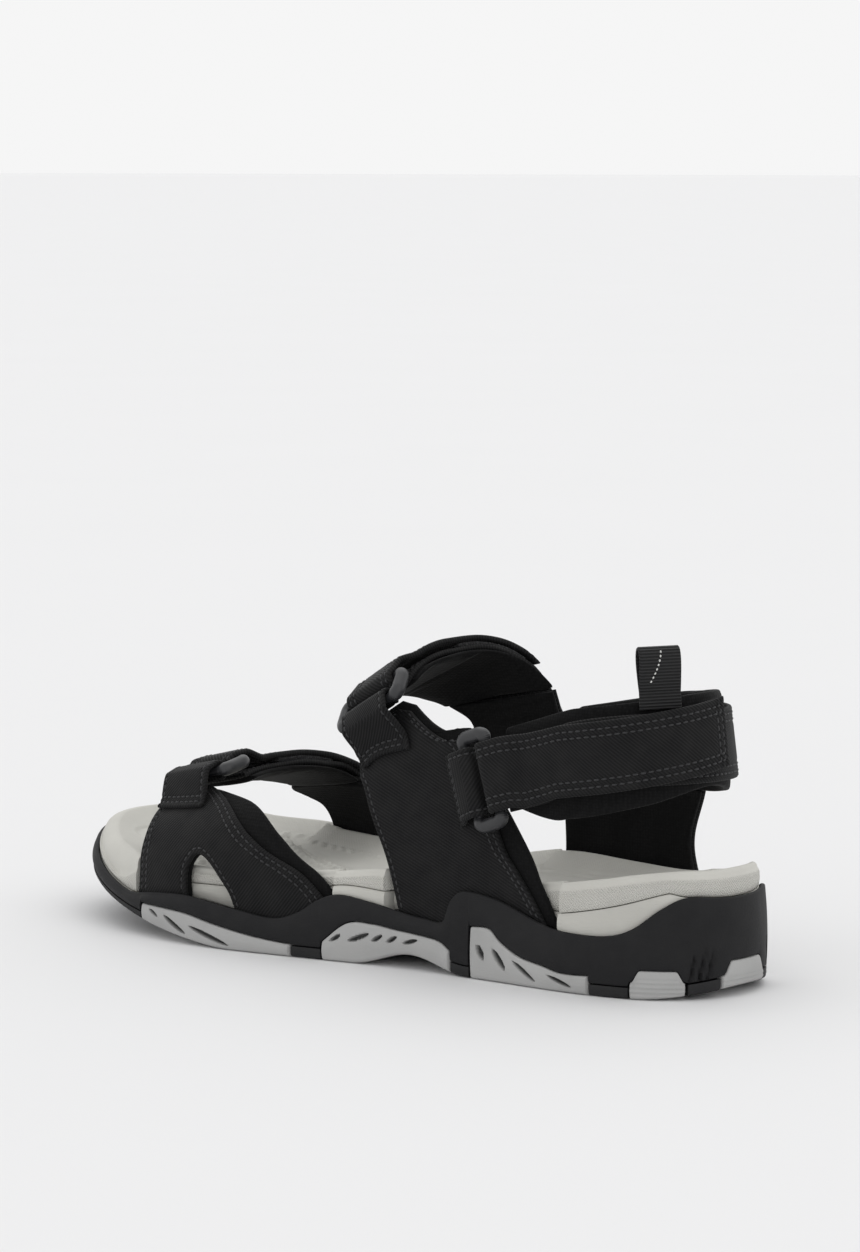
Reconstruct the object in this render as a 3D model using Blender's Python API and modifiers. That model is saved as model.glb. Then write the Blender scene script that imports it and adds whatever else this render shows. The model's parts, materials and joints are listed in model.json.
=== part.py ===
"""Strappy sport sandal, left foot, built from its sewn, moulded and bonded pieces.

A grey footbed and core sit in a black cup sole with a rubber tread and grey side pods. Fabric panels
stand in the cup and carry three hook-and-loop straps, each of which turns back through a plastic ring.
Stations run from the back of the heel (0) to the tip of the toe in millimetres, +Y is the outer
(lateral) side and +Z is up. The origin is under the middle of the sole.
"""

import math

import bmesh
import bpy
import numpy as np

MM = 0.001

# Sole, in millimetres
LENGTH = 292.0
OUTLINE = (
    (0, 0), (5, 18), (20, 31), (45, 37), (85, 38), (125, 41), (160, 47.5), (195, 53), (225, 51),
    (252, 42), (273, 28), (287, 10), (291.5, -8), (288, -25), (276, -38), (256, -48), (228, -53),
    (200, -51), (170, -43.5), (140, -37), (110, -34.5), (75, -36), (45, -37), (20, -31), (5, -18),
)
SPINE_START, SPINE_END = 36.0, 252.0
TOE_SPRING, SPRING_START, SPRING_POWER = 20.5, 186.0, 1.35
HEEL_LIFT, HEEL_LIFT_LENGTH = 3.5, 24.0
WAIST_LIFT, WAIST_MIDDLE, WAIST_HALF = 5.0, 113.0, 24.0
TREAD_DEPTH = ((0, 3.7), (150, 3.7), (205, 3.6), (240, 2.0), (292, 1.7))
CUP_FLOOR = ((0, 3.0), (150, 3.0), (205, 2.9), (240, 1.7), (292, 1.7))
CUP_TOP_LATERAL = (
    (0, 33), (8, 34), (15, 30), (24, 23), (34, 20), (50, 20), (60, 22), (75, 27), (87, 29), (93, 28.5),
    (97, 24.5), (100, 17.8), (108, 18), (116, 19), (130, 21.5), (142, 23), (150, 20.5), (158, 15.5),
    (168, 12.6), (184, 14.5), (204, 17), (222, 16), (236, 14.4), (250, 17), (264, 20.5), (276, 24),
    (292, 29.5),
)
CUP_TOP_MEDIAL = (
    (0, 33), (8, 33), (20, 27), (40, 23), (70, 26), (90, 27), (110, 24), (140, 24), (165, 18), (200, 17),
    (222, 17), (245, 18), (270, 22.5), (292, 29.5),
)
SHELF_LATERAL = (
    (0, 30.5), (8, 30.5), (15, 27), (24, 20.5), (34, 18), (60, 18), (80, 18), (98, 15.8), (120, 16.5),
    (140, 19), (150, 17), (160, 12.4), (168, 10.8), (184, 12.6), (204, 15), (222, 14), (236, 12.6),
    (250, 15.3), (264, 18.8), (276, 22.3), (292, 27.8),
)
SHELF_DROP_MEDIAL = 1.8
CORE_TOP_LATERAL = (
    (0, 37), (12, 35), (32, 29.5), (58, 25), (75, 28.5), (87, 30.5), (95, 30), (104, 26), (120, 25),
    (142, 26), (160, 22), (200, 20.5), (236, 19.5), (264, 22.8), (276, 26), (292, 31),
)
CORE_TOP_MEDIAL = (
    (0, 37), (12, 35), (30, 30), (50, 28), (90, 29), (120, 26.5), (145, 25.5), (170, 22.5), (222, 20.5),
    (245, 21.5), (270, 25), (292, 31),
)
RIM_LATERAL = (
    (0, 42), (10, 42.5), (22, 41), (36, 38.5), (66, 34), (100, 33.5), (126, 33), (142, 31), (165, 28.5),
    (200, 26.5), (230, 27), (258, 29), (280, 32), (292, 34),
)
RIM_MEDIAL = (
    (0, 42), (10, 39.5), (22, 36), (36, 34), (49, 33), (70, 34), (87, 35), (99, 34.5), (111, 32.5),
    (124, 30), (150, 28), (207, 28), (218, 29), (241, 30), (258, 32), (273, 34), (292, 34),
)
DISH = ((36, 30), (60, 28.5), (100, 27), (140, 24.5), (180, 21.5), (210, 21.5), (240, 24), (252, 26))
OPEN_INSET, STRAP_INSET = 3.0, 7.8
CUP_LIP_OUTER, CUP_LIP_INNER, CUP_CAVITY_INSET, POD_RECESS_INSET = 1.2, 2.6, 9.0, 3.7
SEAM_GAP = 0.3
LATERAL_STRAP_ZONES = ((50.0, 127.0), (142.0, 240.0))
MEDIAL_STRAP_ZONES = ((38.0, 105.0), (125.0, 226.0))

# Rubber pods: first and last station, then the height of the top edge along the stations
POD_DEPTH = 13.0
SIDE_PODS = {
    "forefoot": ((160, 228), ((160, 4), (175, 5.5), (190, 8), (203, 10.5), (213, 11.2), (228, 11.5))),
    "waist": ((96, 148), ((96, 8), (101, 11), (110, 12.2), (119, 13), (128, 14), (138, 13.5), (148, 6))),
    "rear": ((39, 88), ((34, 6.5), (49, 6), (57, 7.5), (67, 9.5), (75, 13.5), (80, 17.5), (88, 17.5))),
}
# Heel pods: first and last angle about the heel centre, in degrees from +X, and height of the top edge
HEEL_PODS = {
    "pod_heel_corner_lateral": (110.0, 140.0, 9.5),
    "pod_heel_rear": (162.0, 198.0, 12.0),
    "pod_heel_corner_medial": (220.0, 250.0, 9.5),
}

# Last: the foot-shaped surface that the upper is built around
LAST_INSET = 7.2
LAST_BASE = ((30, 10), (100, 12), (130, 20), (150, 24), (180, 25), (250, 25))
LAST_TOP = (
    (30, 165), (50, 150), (80, 127), (95, 116), (110, 108), (123, 102), (148, 88), (170, 73),
    (185, 62.5), (205, 55), (218, 51.5), (232, 48.5), (250, 45),
)
LAST_POWER = ((30, 3.0), (50, 3.0), (80, 3.0), (123, 3.0), (135, 2.5), (148, 2.15), (215, 2.2), (250, 2.3))
HEEL_CENTRE, HEEL_BACK_AT_60, HEEL_LEAN, COLLAR_FRONT = 50.0, 18.0, 0.13, 95.0

# Layers of the upper: middle distance from the last and thickness
LINING = (1.0, 1.6)
OUTER = (3.1, 1.5)
LOOP_PATCH = (4.5, 0.5)
HOOK_PATCH = (5.45, 0.5)
FLAP = (7.0, 1.6)
COLLAR_THICKNESS = 4.6
HEEL_STACK = {"base": 6.0, "loop": 7.5, "hook": 8.4, "flap": 9.9}

# Rings and the fabric turned round their bars
RING_BAR, BAR_SPACING, FOLD_RADIUS = 1.7, 9.6, 3.0
BAR_LIFT, HEEL_BAR_LIFT = 8.1, 11.0
STRAP_WIDTH, SLOT_CLEARANCE = 24.0, 0.9
TAB_RADIUS, TAB_HOLE, TAB_LENGTH = 3.9, 2.2, 13.0

# Pull tab
TAB_WIDTH, TAB_HEIGHT, TAB_HALF_GAP, WEBBING = 14.5, 15.5, 3.2, 1.2

BLACK = (0.012, 0.012, 0.013)
GREY = (0.42, 0.41, 0.38)
LIGHT_GREY = (0.55, 0.54, 0.50)
POD_GREY = (0.36, 0.36, 0.35)
RING_GREY = (0.09, 0.09, 0.095)


# ---------------------------------------------------------------- curves
def catmull(points, count, closed=False):
    """Points along a Catmull-Rom curve through the given points."""
    p = np.asarray(points, float)
    if closed:
        p = np.vstack([p[-1:], p, p[:2]])
    else:
        p = np.vstack([2 * p[0] - p[1], p, 2 * p[-1] - p[-2]])
    spans = len(p) - 3
    t = np.linspace(0, spans, count, endpoint=not closed)
    i = np.minimum(t.astype(int), spans - 1)
    f = (t - i)[:, None]
    a, b, c, d = p[i], p[i + 1], p[i + 2], p[i + 3]
    return 0.5 * (2 * b + (c - a) * f + (2 * a - 5 * b + 4 * c - d) * f**2 + (3 * b - a - 3 * c + d) * f**3)


def profile(points):
    """A height as a function of the station, straight between the points but for a slight smoothing."""
    curve = catmull(points, 24 * len(points))
    order = np.argsort(curve[:, 0])
    return lambda x: np.interp(x, curve[order, 0], curve[order, 1])


def smoothstep(t):
    t = np.clip(t, 0, 1)
    return t * t * (3 - 2 * t)


OUTLINE_CURVE = catmull(OUTLINE, 1500, closed=True)
MIDDLE_STATION = 0.5 * (OUTLINE_CURVE[:, 0].min() + OUTLINE_CURVE[:, 0].max())
MIDDLE_Y = 0.5 * (OUTLINE_CURVE[:, 1].min() + OUTLINE_CURVE[:, 1].max())


def side_curve(sign):
    """The outline's y as a function of the station, on the lateral (+1) or the medial (-1) side."""
    half = OUTLINE_CURVE[(OUTLINE_CURVE[:, 1] * sign > 8) & (OUTLINE_CURVE[:, 0] < 286)]
    half = half[np.argsort(half[:, 0])]
    return lambda x: np.interp(x, half[:, 0], half[:, 1])


lateral_y, medial_y = side_curve(1), side_curve(-1)
cup_top_lateral, cup_top_medial = profile(CUP_TOP_LATERAL), profile(CUP_TOP_MEDIAL)
shelf_lateral = profile(SHELF_LATERAL)
core_top_lateral, core_top_medial = profile(CORE_TOP_LATERAL), profile(CORE_TOP_MEDIAL)
rim_lateral, rim_medial = profile(RIM_LATERAL), profile(RIM_MEDIAL)
dish, tread_depth, cup_floor = profile(DISH), profile(TREAD_DEPTH), profile(CUP_FLOOR)
last_base, last_top, last_power = profile(LAST_BASE), profile(LAST_TOP), profile(LAST_POWER)


def shelf_medial(x):
    return cup_top_medial(x) - SHELF_DROP_MEDIAL


def ground(x):
    """Underside of the tread: flat, with toe spring, a lifted heel edge and a lifted waist."""
    toe = TOE_SPRING * np.clip((x - SPRING_START) / (LENGTH - SPRING_START), 0, 1) ** SPRING_POWER
    heel = HEEL_LIFT * np.clip((HEEL_LIFT_LENGTH - x) / HEEL_LIFT_LENGTH, 0, 1) ** 2
    waist = np.clip(np.abs(x - WAIST_MIDDLE) / WAIST_HALF, 0, 1)
    return toe + heel + WAIST_LIFT * np.cos(0.5 * math.pi * waist) ** 2


def tread_top(x):
    return ground(x) + tread_depth(x)


def cup_bottom(x):
    return tread_top(x) + SEAM_GAP


def cavity_floor(x):
    return cup_bottom(x) + cup_floor(x)


def core_bottom(x):
    return cavity_floor(x) + SEAM_GAP


# ---------------------------------------------------------------- perimeter of the sole
def polar_outline(centre):
    """The outline's distance from a centre as a function of the angle."""
    rel = OUTLINE_CURVE - centre
    angle = np.unwrap(np.arctan2(rel[:, 1], rel[:, 0]))
    order = np.argsort(angle)
    return lambda a: np.interp(a, angle[order], np.hypot(rel[:, 0], rel[:, 1])[order], period=2 * math.pi)


def spine_y(x):
    return 0.5 * (lateral_y(x) + medial_y(x))


class Perimeter:
    """Outline points with the spine points they face, running lateral, toe, medial, heel."""

    def __init__(self, stations, cap_angles):
        toe = np.radians(np.asarray(cap_angles, float))
        heel = toe + math.pi
        self.edge, self.spine, self.side = [], [], []
        self.add_side(stations, 1)
        self.add_cap(SPINE_END, toe[::-1])
        self.add_side(stations[::-1], -1)
        self.add_cap(SPINE_START, -heel)
        self.edge, self.spine = np.vstack(self.edge), np.vstack(self.spine)
        self.side = np.concatenate(self.side)
        self.x = self.edge[:, 0]
        self.ray = self.edge - self.spine
        self.reach = np.linalg.norm(self.ray, axis=1)

    def add_side(self, stations, sign):
        y = lateral_y(stations) if sign > 0 else medial_y(stations)
        self.edge.append(np.column_stack([stations, y]))
        self.spine.append(np.column_stack([stations, spine_y(stations)]))
        self.side.append(np.full(len(stations), float(sign)))

    def add_cap(self, station, angles):
        centre = np.array([station, spine_y(station)])
        reach = polar_outline(centre)(angles)
        ray = np.column_stack([np.cos(angles), np.sin(angles)])
        self.edge.append(centre + reach[:, None] * ray)
        self.spine.append(np.repeat(centre[None], len(angles), 0))
        self.side.append(np.sin(angles))

    def blend(self, lateral, medial):
        share = 0.5 * (1 + self.side)
        return lateral(self.x) * share + medial(self.x) * (1 - share)

    def ring(self, inset, z):
        """Points this far in from the outline, or on the spine, at their mean height, for inset None."""
        z = np.broadcast_to(z, len(self.x))
        if inset is None:
            group = np.unique(np.round(self.spine[:, 0], 4), return_inverse=True)[1]
            straight = (np.abs(self.side) > 0.999).astype(float)
            z = (np.bincount(group, z * straight) / np.bincount(group, straight))[group]
            return np.column_stack([self.spine, z])
        return np.column_stack([self.inside(inset), z])

    def inside(self, inset):
        share = np.minimum(inset / self.reach, 1)
        return self.edge + (self.spine - self.edge) * share[:, None]

    def follow(self, inset, height):
        """A ring whose height is a function of the station that each point is really at."""
        return self.ring(inset, height(self.spine[:, 0] if inset is None else self.inside(inset)[:, 0]))

    def zone(self, lateral_ranges, medial_ranges):
        """1 at the places inside any of the ranges of stations on its side, else 0."""
        hit = np.zeros(len(self.x))
        for low, high in lateral_ranges:
            hit[(self.side > 0.999) & (self.x > low) & (self.x < high)] = 1
        for low, high in medial_ranges:
            hit[(self.side < -0.999) & (self.x > low) & (self.x < high)] = 1
        return hit


def stations_with(extra, count):
    """Even stations along the spine with more at both sides of each step."""
    even = np.linspace(SPINE_START, SPINE_END, count)
    steps = np.array([s for x in extra for s in (x - SEAM_GAP, x + SEAM_GAP)])
    even = even[[np.abs(steps - x).min() > 1.5 for x in even]] if len(steps) else even
    ends = np.array([SPINE_START, SPINE_END])
    return np.unique(np.concatenate([even, steps[(steps > SPINE_START) & (steps < SPINE_END)], ends]))


# ---------------------------------------------------------------- last surface
def last_middle(x):
    return 0.5 * (lateral_y(x) + medial_y(x))


def last_half(x):
    return 0.5 * (lateral_y(x) - medial_y(x)) - LAST_INSET


def last_rise(x, z):
    """Height up the last's section, from 0 at its vertical wall to 1 at its top."""
    return np.clip((z - last_base(x)) / (last_top(x) - last_base(x)), 0, 1.2)


def last_level(x, y, z):
    """Above 1 outside the last and under 1 inside it: a superellipse section at each station."""
    across = np.abs(y - last_middle(x)) / last_half(x)
    return across ** last_power(x) + last_rise(x, z) ** last_power(x)


def lifted(x, y, z, lift):
    """Points of the last moved outwards by a distance."""
    step = 0.5
    slope = [
        last_level(x + step, y, z) - last_level(x - step, y, z),
        last_level(x, y + step, z) - last_level(x, y - step, z),
        last_level(x, y, z + step) - last_level(x, y, z - step),
    ]
    normal = np.stack(slope, -1)
    normal /= np.linalg.norm(normal, axis=-1, keepdims=True)
    return np.stack([x, y, z], -1) + normal * np.asarray(lift, float)[..., None]


def last_point(x, angle, lift):
    """The point at a station and an angle (0 lateral, 90 top, 180 medial), lifted off the surface."""
    x, angle = np.broadcast_arrays(np.asarray(x, float), np.radians(angle))
    power = 2 / last_power(x)
    c, s = np.cos(angle), np.sin(angle)
    y = last_middle(x) + last_half(x) * np.sign(c) * np.abs(c) ** power
    return lifted(x, y, last_base(x) + (last_top(x) - last_base(x)) * np.abs(s) ** power, lift)


def wall_y(x, z, side):
    power = last_power(x)
    return last_middle(x) + side * last_half(x) * (1 - np.minimum(last_rise(x, z), 1) ** power) ** (1 / power)


def heel_plan(place, z):
    """Plan of the heel at a height: place 0 to 1 runs back along the lateral wall, 1 to 2 round the heel
    on half an ellipse and 2 to 3 forward along the medial wall."""
    place, z = np.broadcast_arrays(np.asarray(place, float), np.asarray(z, float))
    straight = np.where(place < 1, place, 3 - place)
    x = COLLAR_FRONT + (HEEL_CENTRE - COLLAR_FRONT) * np.clip(straight, 0, 1)
    y = wall_y(x, z, np.where(place < 1.5, 1.0, -1.0))
    turn = math.pi * (0.5 + np.clip(place - 1, 0, 1))
    back = HEEL_BACK_AT_60 + HEEL_LEAN * (z - 60)
    half = 0.5 * (wall_y(HEEL_CENTRE, z, 1) - wall_y(HEEL_CENTRE, z, -1))
    centre = 0.5 * (wall_y(HEEL_CENTRE, z, 1) + wall_y(HEEL_CENTRE, z, -1))
    round_x = HEEL_CENTRE + (HEEL_CENTRE - back) * np.cos(turn)
    round_y = centre + half * np.sin(turn)
    curved = (place > 1) & (place < 2)
    return np.stack([np.where(curved, round_x, x), np.where(curved, round_y, y), z], -1)


def heel_point(place, z, lift):
    step = 0.02
    along = heel_plan(np.asarray(place) + step, z) - heel_plan(np.asarray(place) - step, z)
    up = heel_plan(place, np.asarray(z) + 1.0) - heel_plan(place, np.asarray(z) - 1.0)
    normal = np.cross(up, along)
    normal /= np.linalg.norm(normal, axis=-1, keepdims=True)
    return heel_plan(place, z) - normal * np.asarray(lift, float)[..., None]


# ---------------------------------------------------------------- building blocks in Blender
def collection(name):
    made = bpy.data.collections.new(name)
    bpy.context.scene.collection.children.link(made)
    return made


def material(name, colour, roughness):
    made = bpy.data.materials.get(name) or bpy.data.materials.new(name)
    made.use_nodes = True
    shader = made.node_tree.nodes["Principled BSDF"]
    shader.inputs["Base Color"].default_value = (*colour, 1)
    shader.inputs["Roughness"].default_value = roughness
    shader.inputs["Metallic"].default_value = 0
    return made


def to_world(points):
    """Station millimetres to metres about the origin."""
    return (np.asarray(points, float) - (MIDDLE_STATION, MIDDLE_Y, 0)) * MM


def add_pivot(name, point, parent=None):
    """An empty on a joint's axis."""
    empty = bpy.data.objects.new(name, None)
    parts.objects.link(empty)
    place = to_world(point)
    if parent:
        empty.parent = parent
        place = place - np.array(parent["place"])
        empty["place"] = to_world(point).tolist()
    else:
        empty["place"] = place.tolist()
    empty.location = place
    return empty


def add_object(name, data, surface, pivot):
    made = bpy.data.objects.new(name, data)
    made.data.materials.append(surface)
    made.parent = pivot
    parts.objects.link(made)
    return made


def add_mesh(name, points, faces, surface, pivot=None, closed=True):
    """An object from points in station millimetres; a closed one is welded and turned outwards."""
    world = to_world(points)
    if pivot:
        world = world - np.array(pivot["place"])
    mesh = bpy.data.meshes.new(name)
    mesh.from_pydata(world.tolist(), [], [list(map(int, f)) for f in faces])
    shape = bmesh.new()
    shape.from_mesh(mesh)
    bmesh.ops.remove_doubles(shape, verts=shape.verts, dist=1e-6)
    bmesh.ops.dissolve_degenerate(shape, edges=shape.edges, dist=1e-7)
    if closed:
        bmesh.ops.recalc_face_normals(shape, faces=shape.faces)
    shape.to_mesh(mesh)
    shape.free()
    mesh.shade_smooth()
    mesh.set_sharp_from_angle(angle=math.radians(40))
    return add_object(name, mesh, surface, pivot)


def grid_faces(rows, columns, wrap=False):
    """Quads of a grid, joined from its last column back to its first when wrap is set."""
    wide = columns if wrap else columns - 1
    r, c = np.meshgrid(np.arange(rows - 1), np.arange(wide), indexing="ij")
    n = (c + 1) % columns
    quads = np.stack([r * columns + c, r * columns + n, (r + 1) * columns + n, (r + 1) * columns + c], -1)
    return quads.reshape(-1, 4)


def add_sheet(name, middle, thickness, surface, pivot=None):
    """A fabric piece: an open grid of points on its middle surface, thickened to both sides."""
    rows, columns = middle.shape[:2]
    made = add_mesh(name, middle.reshape(-1, 3), grid_faces(rows, columns), surface, pivot, closed=False)
    solid = made.modifiers.new("thickness", "SOLIDIFY")
    solid.thickness = thickness * MM
    solid.offset = 0
    return made


def add_rings(name, perimeter, rings, surface):
    """A sole layer: rings from the spine out and back to the spine. Every quad is split from its outer
    ring's near corner to its inner ring's far one, so that layers that face each other have like facets."""
    made = [(perimeter.follow if callable(z) else perimeter.ring)(inset, z) for inset, z in rings]
    depth = [1e6 if inset is None else float(np.mean(inset)) for inset, _ in rings]
    count = len(perimeter.x)
    faces = []
    for row, quads in enumerate(grid_faces(len(rings), count, wrap=True).reshape(-1, count, 4)):
        split = ((0, 1, 2), (0, 2, 3)) if depth[row] <= depth[row + 1] else ((0, 1, 3), (1, 2, 3))
        faces += [quad[list(corners)] for quad in quads for corners in split]
    return add_mesh(name, np.vstack(made), faces, surface)


def add_sweep(name, sections, surface, pivot=None):
    """A closed section carried along a path, with flat ends."""
    count, corners = sections.shape[:2]
    faces = [list(f) for f in grid_faces(count, corners, wrap=True)]
    faces.append(list(range(corners)))
    faces.append(list(range((count - 1) * corners, count * corners)))
    return add_mesh(name, sections.reshape(-1, 3), faces, surface, pivot)


# ---------------------------------------------------------------- sole
def pod_tops(perimeter):
    """Height of the pods' top edges and where the pods are, at each place of a perimeter."""
    x = perimeter.x
    floor = ground(x) + tread_depth(x)
    top, inside = floor + 0.15, np.zeros(len(x), bool)
    for (first, last), heights in SIDE_PODS.values():
        here = (np.abs(perimeter.side) > 0.999) & (x > first - SEAM_GAP / 2) & (x < last + SEAM_GAP / 2)
        top[here] = np.maximum(profile(heights)(x[here]), floor[here] + 0.5) + SEAM_GAP
        inside |= here
    angle = np.degrees(np.arctan2(perimeter.ray[:, 1], perimeter.ray[:, 0])) % 360
    for first, last, height in HEEL_PODS.values():
        here = (x < SPINE_START - 0.01) & (angle > first - 1.2) & (angle < last + 1.2)
        top[here] = height + SEAM_GAP
        inside |= here
    return top, inside


def make_perimeter():
    """Places that include both sides of every step in the sole's layers."""
    steps = [s for (first, last), _ in SIDE_PODS.values() for s in (first, last)]
    steps += [s for zone in LATERAL_STRAP_ZONES + MEDIAL_STRAP_ZONES for s in zone]
    heel = [a for first, last, _ in HEEL_PODS.values() for a in (first - 1.7, first - 0.7, last + 0.7, last + 1.7)]
    even = [a for a in np.linspace(-75, 75, 9) if min(abs(180 - a - b) for b in heel) > 5]
    caps = np.unique(np.round(even + [180 - a for a in heel], 3))
    return Perimeter(stations_with([s for s in steps if s > SPINE_START + 1], 15), caps)


def make_sole():
    around = make_perimeter()
    x = around.x
    low, depth = ground(x), tread_depth(x)
    pod_top, in_pod = pod_tops(around)
    rubber = material("black_rubber", BLACK, 0.75)
    edge = np.where(in_pod, POD_DEPTH + SEAM_GAP, 0.5)
    inner = POD_DEPTH + 2.0
    tread = [(None, ground), (inner + 1, ground), (edge + 1.2, ground), (edge, low + 0.8), (edge, tread_top)]
    tread += [(np.where(in_pod, inner - 1, POD_RECESS_INSET), tread_top), (inner, tread_top), (None, tread_top)]
    add_rings("tread", around, tread, rubber)

    bottom = low + depth + SEAM_GAP
    top = around.blend(cup_top_lateral, cup_top_medial)
    shelf = around.blend(shelf_lateral, shelf_medial)
    seat = np.maximum(pod_top, bottom + 0.15)
    cup = [
        (None, cup_bottom), (inner, cup_bottom), (POD_RECESS_INSET, cup_bottom), (POD_RECESS_INSET, seat), (0.3, seat),
        (0.0, 0.5 * (seat + top)), (CUP_LIP_OUTER, top), (CUP_LIP_INNER, top), (CUP_LIP_INNER, shelf),
        (CUP_CAVITY_INSET, shelf), (CUP_CAVITY_INSET, cavity_floor), (None, cavity_floor),
    ]
    add_rings("cup_sole", around, cup, material("black_foam", BLACK, 0.6))

    inset = OPEN_INSET + (STRAP_INSET - OPEN_INSET) * around.zone(LATERAL_STRAP_ZONES, MEDIAL_STRAP_ZONES)
    shelf = around.blend(shelf_lateral, shelf_medial) + 0.5
    core_top = around.blend(core_top_lateral, core_top_medial)
    hollow = dish(np.clip(x, SPINE_START, SPINE_END))
    sunk = np.minimum(core_top, hollow - 3.3)
    plug = CUP_CAVITY_INSET + 0.6
    core = [(None, core_bottom), (plug, core_bottom), (plug, shelf), (inset, shelf), (inset, core_top)]
    core += [(inset + 16.0, sunk), (None, sunk)]
    add_rings("midsole_core", around, core, material("grey_foam", GREY, 0.8))

    rim = around.blend(rim_lateral, rim_medial)
    base = core_top + SEAM_GAP
    slope = [(inset + 6.0, 0.62), (inset + 12.0, 0.25), (inset + 19.0, 0.06)]
    bed = [(None, sunk + SEAM_GAP), (inset + 16.0, sunk + SEAM_GAP), (inset, base), (inset, rim - 1.8)]
    bed += [(inset + 1.6, rim)] + [(far, hollow + (rim - hollow) * share) for far, share in slope]
    bed.append((None, hollow))
    add_rings("footbed", around, bed, material("footbed_foam", LIGHT_GREY, 0.85))


def pod_section(edge, spine, x, top):
    """An L: a foot under the sole's edge and a wall up its side."""
    low = float(ground(x))
    top = max(top, float(tread_top(x)) + 0.5)
    inward = (spine - edge) / np.linalg.norm(spine - edge)
    wall = POD_RECESS_INSET - SEAM_GAP
    inner = edge + inward * POD_DEPTH
    floor = float(tread_top(edge[0] + inward[0] * POD_RECESS_INSET))
    corners = [(0.0, low + 0.9), (1.2, low), (wall, floor), (wall, top), (0.6, top)]
    corners.append((-0.4, 0.5 * (low + 0.9 + top)))
    rim = [np.append(edge + inward * inset, z) for inset, z in corners]
    under = [np.append(inner, ground(inner[0])), np.append(inner, tread_top(inner[0]))]
    return rim[:2] + under + rim[2:]


def make_pods():
    """Each pod has a section at every place of the perimeter that its recess in the cup has."""
    rubber = material("grey_rubber", POD_GREY, 0.6)
    around = make_perimeter()
    for name, ((first, last), heights) in SIDE_PODS.items():
        height = profile(heights)
        for side, word in ((1, "lateral"), (-1, "medial")):
            here = (around.side * side > 0.999) & (around.x > first) & (around.x < last)
            rows = [
                pod_section(edge, spine, edge[0], float(height(edge[0])))
                for edge, spine in zip(around.edge[here], around.spine[here])
            ]
            add_sweep(f"pod_{name}_{word}", np.array(rows), rubber)
    for name, (first, last, height) in HEEL_PODS.items():
        angle = np.degrees(np.arctan2(around.ray[:, 1], around.ray[:, 0])) % 360
        here = (around.x < SPINE_START - 0.01) & (angle > first - 1.2) & (angle < last + 1.2)
        rows = [
            pod_section(edge, spine, edge[0], height) for edge, spine in zip(around.edge[here], around.spine[here])
        ]
        add_sweep(name, np.array(rows), rubber)


# ---------------------------------------------------------------- upper panels
def seat_height(x, side):
    """Where a panel's lower edge stands in the cup."""
    shelf = shelf_lateral(x) if side > 0 else shelf_medial(x)
    return shelf + 1.3


def panel(first_edge, second_edge, side, lift, rows, columns, both_ends=False):
    """A patch of the last between two edges given as (station, height), standing in the cup."""
    first, second = catmull(first_edge, rows), catmull(second_edge, rows)
    share = np.linspace(0, 1, columns)[None, :, None]
    place = first[:, None] * (1 - share) + second[:, None] * share
    x, z = place[..., 0], place[..., 1].copy()
    z[0] = seat_height(x[0], side)
    if both_ends:
        z[-1] = seat_height(x[-1], side)
    return lifted(x, wall_y(x, z, side), z, np.full(x.shape, lift))


def strap_band(front, rear, lift, rows, columns):
    """A patch of the last between two edges given as (station, angle)."""
    first, second = catmull(front, rows), catmull(rear, rows)
    share = np.linspace(0, 1, columns)[None, :, None]
    place = first[:, None] * (1 - share) + second[:, None] * share
    return last_point(place[..., 0], place[..., 1], np.full(place.shape[:2], lift))


VAMP_LATERAL = {
    "window": ((185, 14), (189, 20), (196, 28.5), (202, 30), (205, 26), (205.5, 21), (205, 17)),
    "outer": ((149, 14), (162, 27), (180, 38.5), (200, 48), (228, 46.5), (230.5, 32), (232, 15)),
    "lining": ((148, 14), (158, 27), (170, 39), (188, 49), (229, 46.5), (231.5, 32), (233, 15)),
}
VAMP_MEDIAL = {
    "window": ((183, 15), (186, 21), (190, 27), (196, 28), (199, 25), (201, 21), (202, 17)),
    "outer": ((168, 14), (171, 27), (184, 40), (199, 47), (229, 43), (221, 35), (217, 16)),
    "lining": ((166.5, 14), (169, 27), (181, 40), (196, 45.5), (230, 41.5), (222.5, 34), (218.5, 16)),
}
QUARTER_LATERAL_FRONT = ((120, 18), (125, 34), (130, 47), (136, 60), (141, 71))
QUARTER_LATERAL_REAR = ((58, 18), (70, 34), (77, 46), (87, 68), (96, 78))
QUARTER_LATERAL_TOP = ((141, 71), (137, 77), (131, 82), (125, 86))
QUARTER_LATERAL_DIP = ((96, 78), (102, 78), (110, 80.5), (120, 86))
LINING_LATERAL_FRONT = ((121, 18), (126, 34), (131, 47), (137, 60), (142, 71))
LINING_LATERAL_REAR = ((55, 18), (63, 32), (67, 43), (80.5, 62), (92, 82))


def make_panels():
    twill = material("black_twill", BLACK, 0.9)
    knit = material("black_lining", BLACK, 0.95)
    for word, side, edges in (("lateral", 1, VAMP_LATERAL), ("medial", -1, VAMP_MEDIAL)):
        outer = panel(edges["window"], edges["outer"], side, OUTER[0], 17, 7, both_ends=True)
        lining = panel(edges["window"], edges["lining"], side, LINING[0], 17, 7, both_ends=True)
        add_sheet(f"vamp_{word}_outer", outer, OUTER[1], twill)
        add_sheet(f"vamp_{word}_lining", lining, LINING[1], knit)
    make_lateral_quarter(twill, knit)
    make_medial_quarter(twill, knit)
    heel_front = ((99, 20), (99, 38), (99, 58.3))
    heel_rear = ((41, 20), (43, 40), (42, 58.3))
    add_sheet("heel_panel_outer", panel(heel_front, heel_rear, -1, OUTER[0], 6, 7), OUTER[1], twill)
    add_sheet("heel_panel_lining", panel(heel_front, heel_rear, -1, LINING[0], 6, 7), LINING[1], knit)


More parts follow.
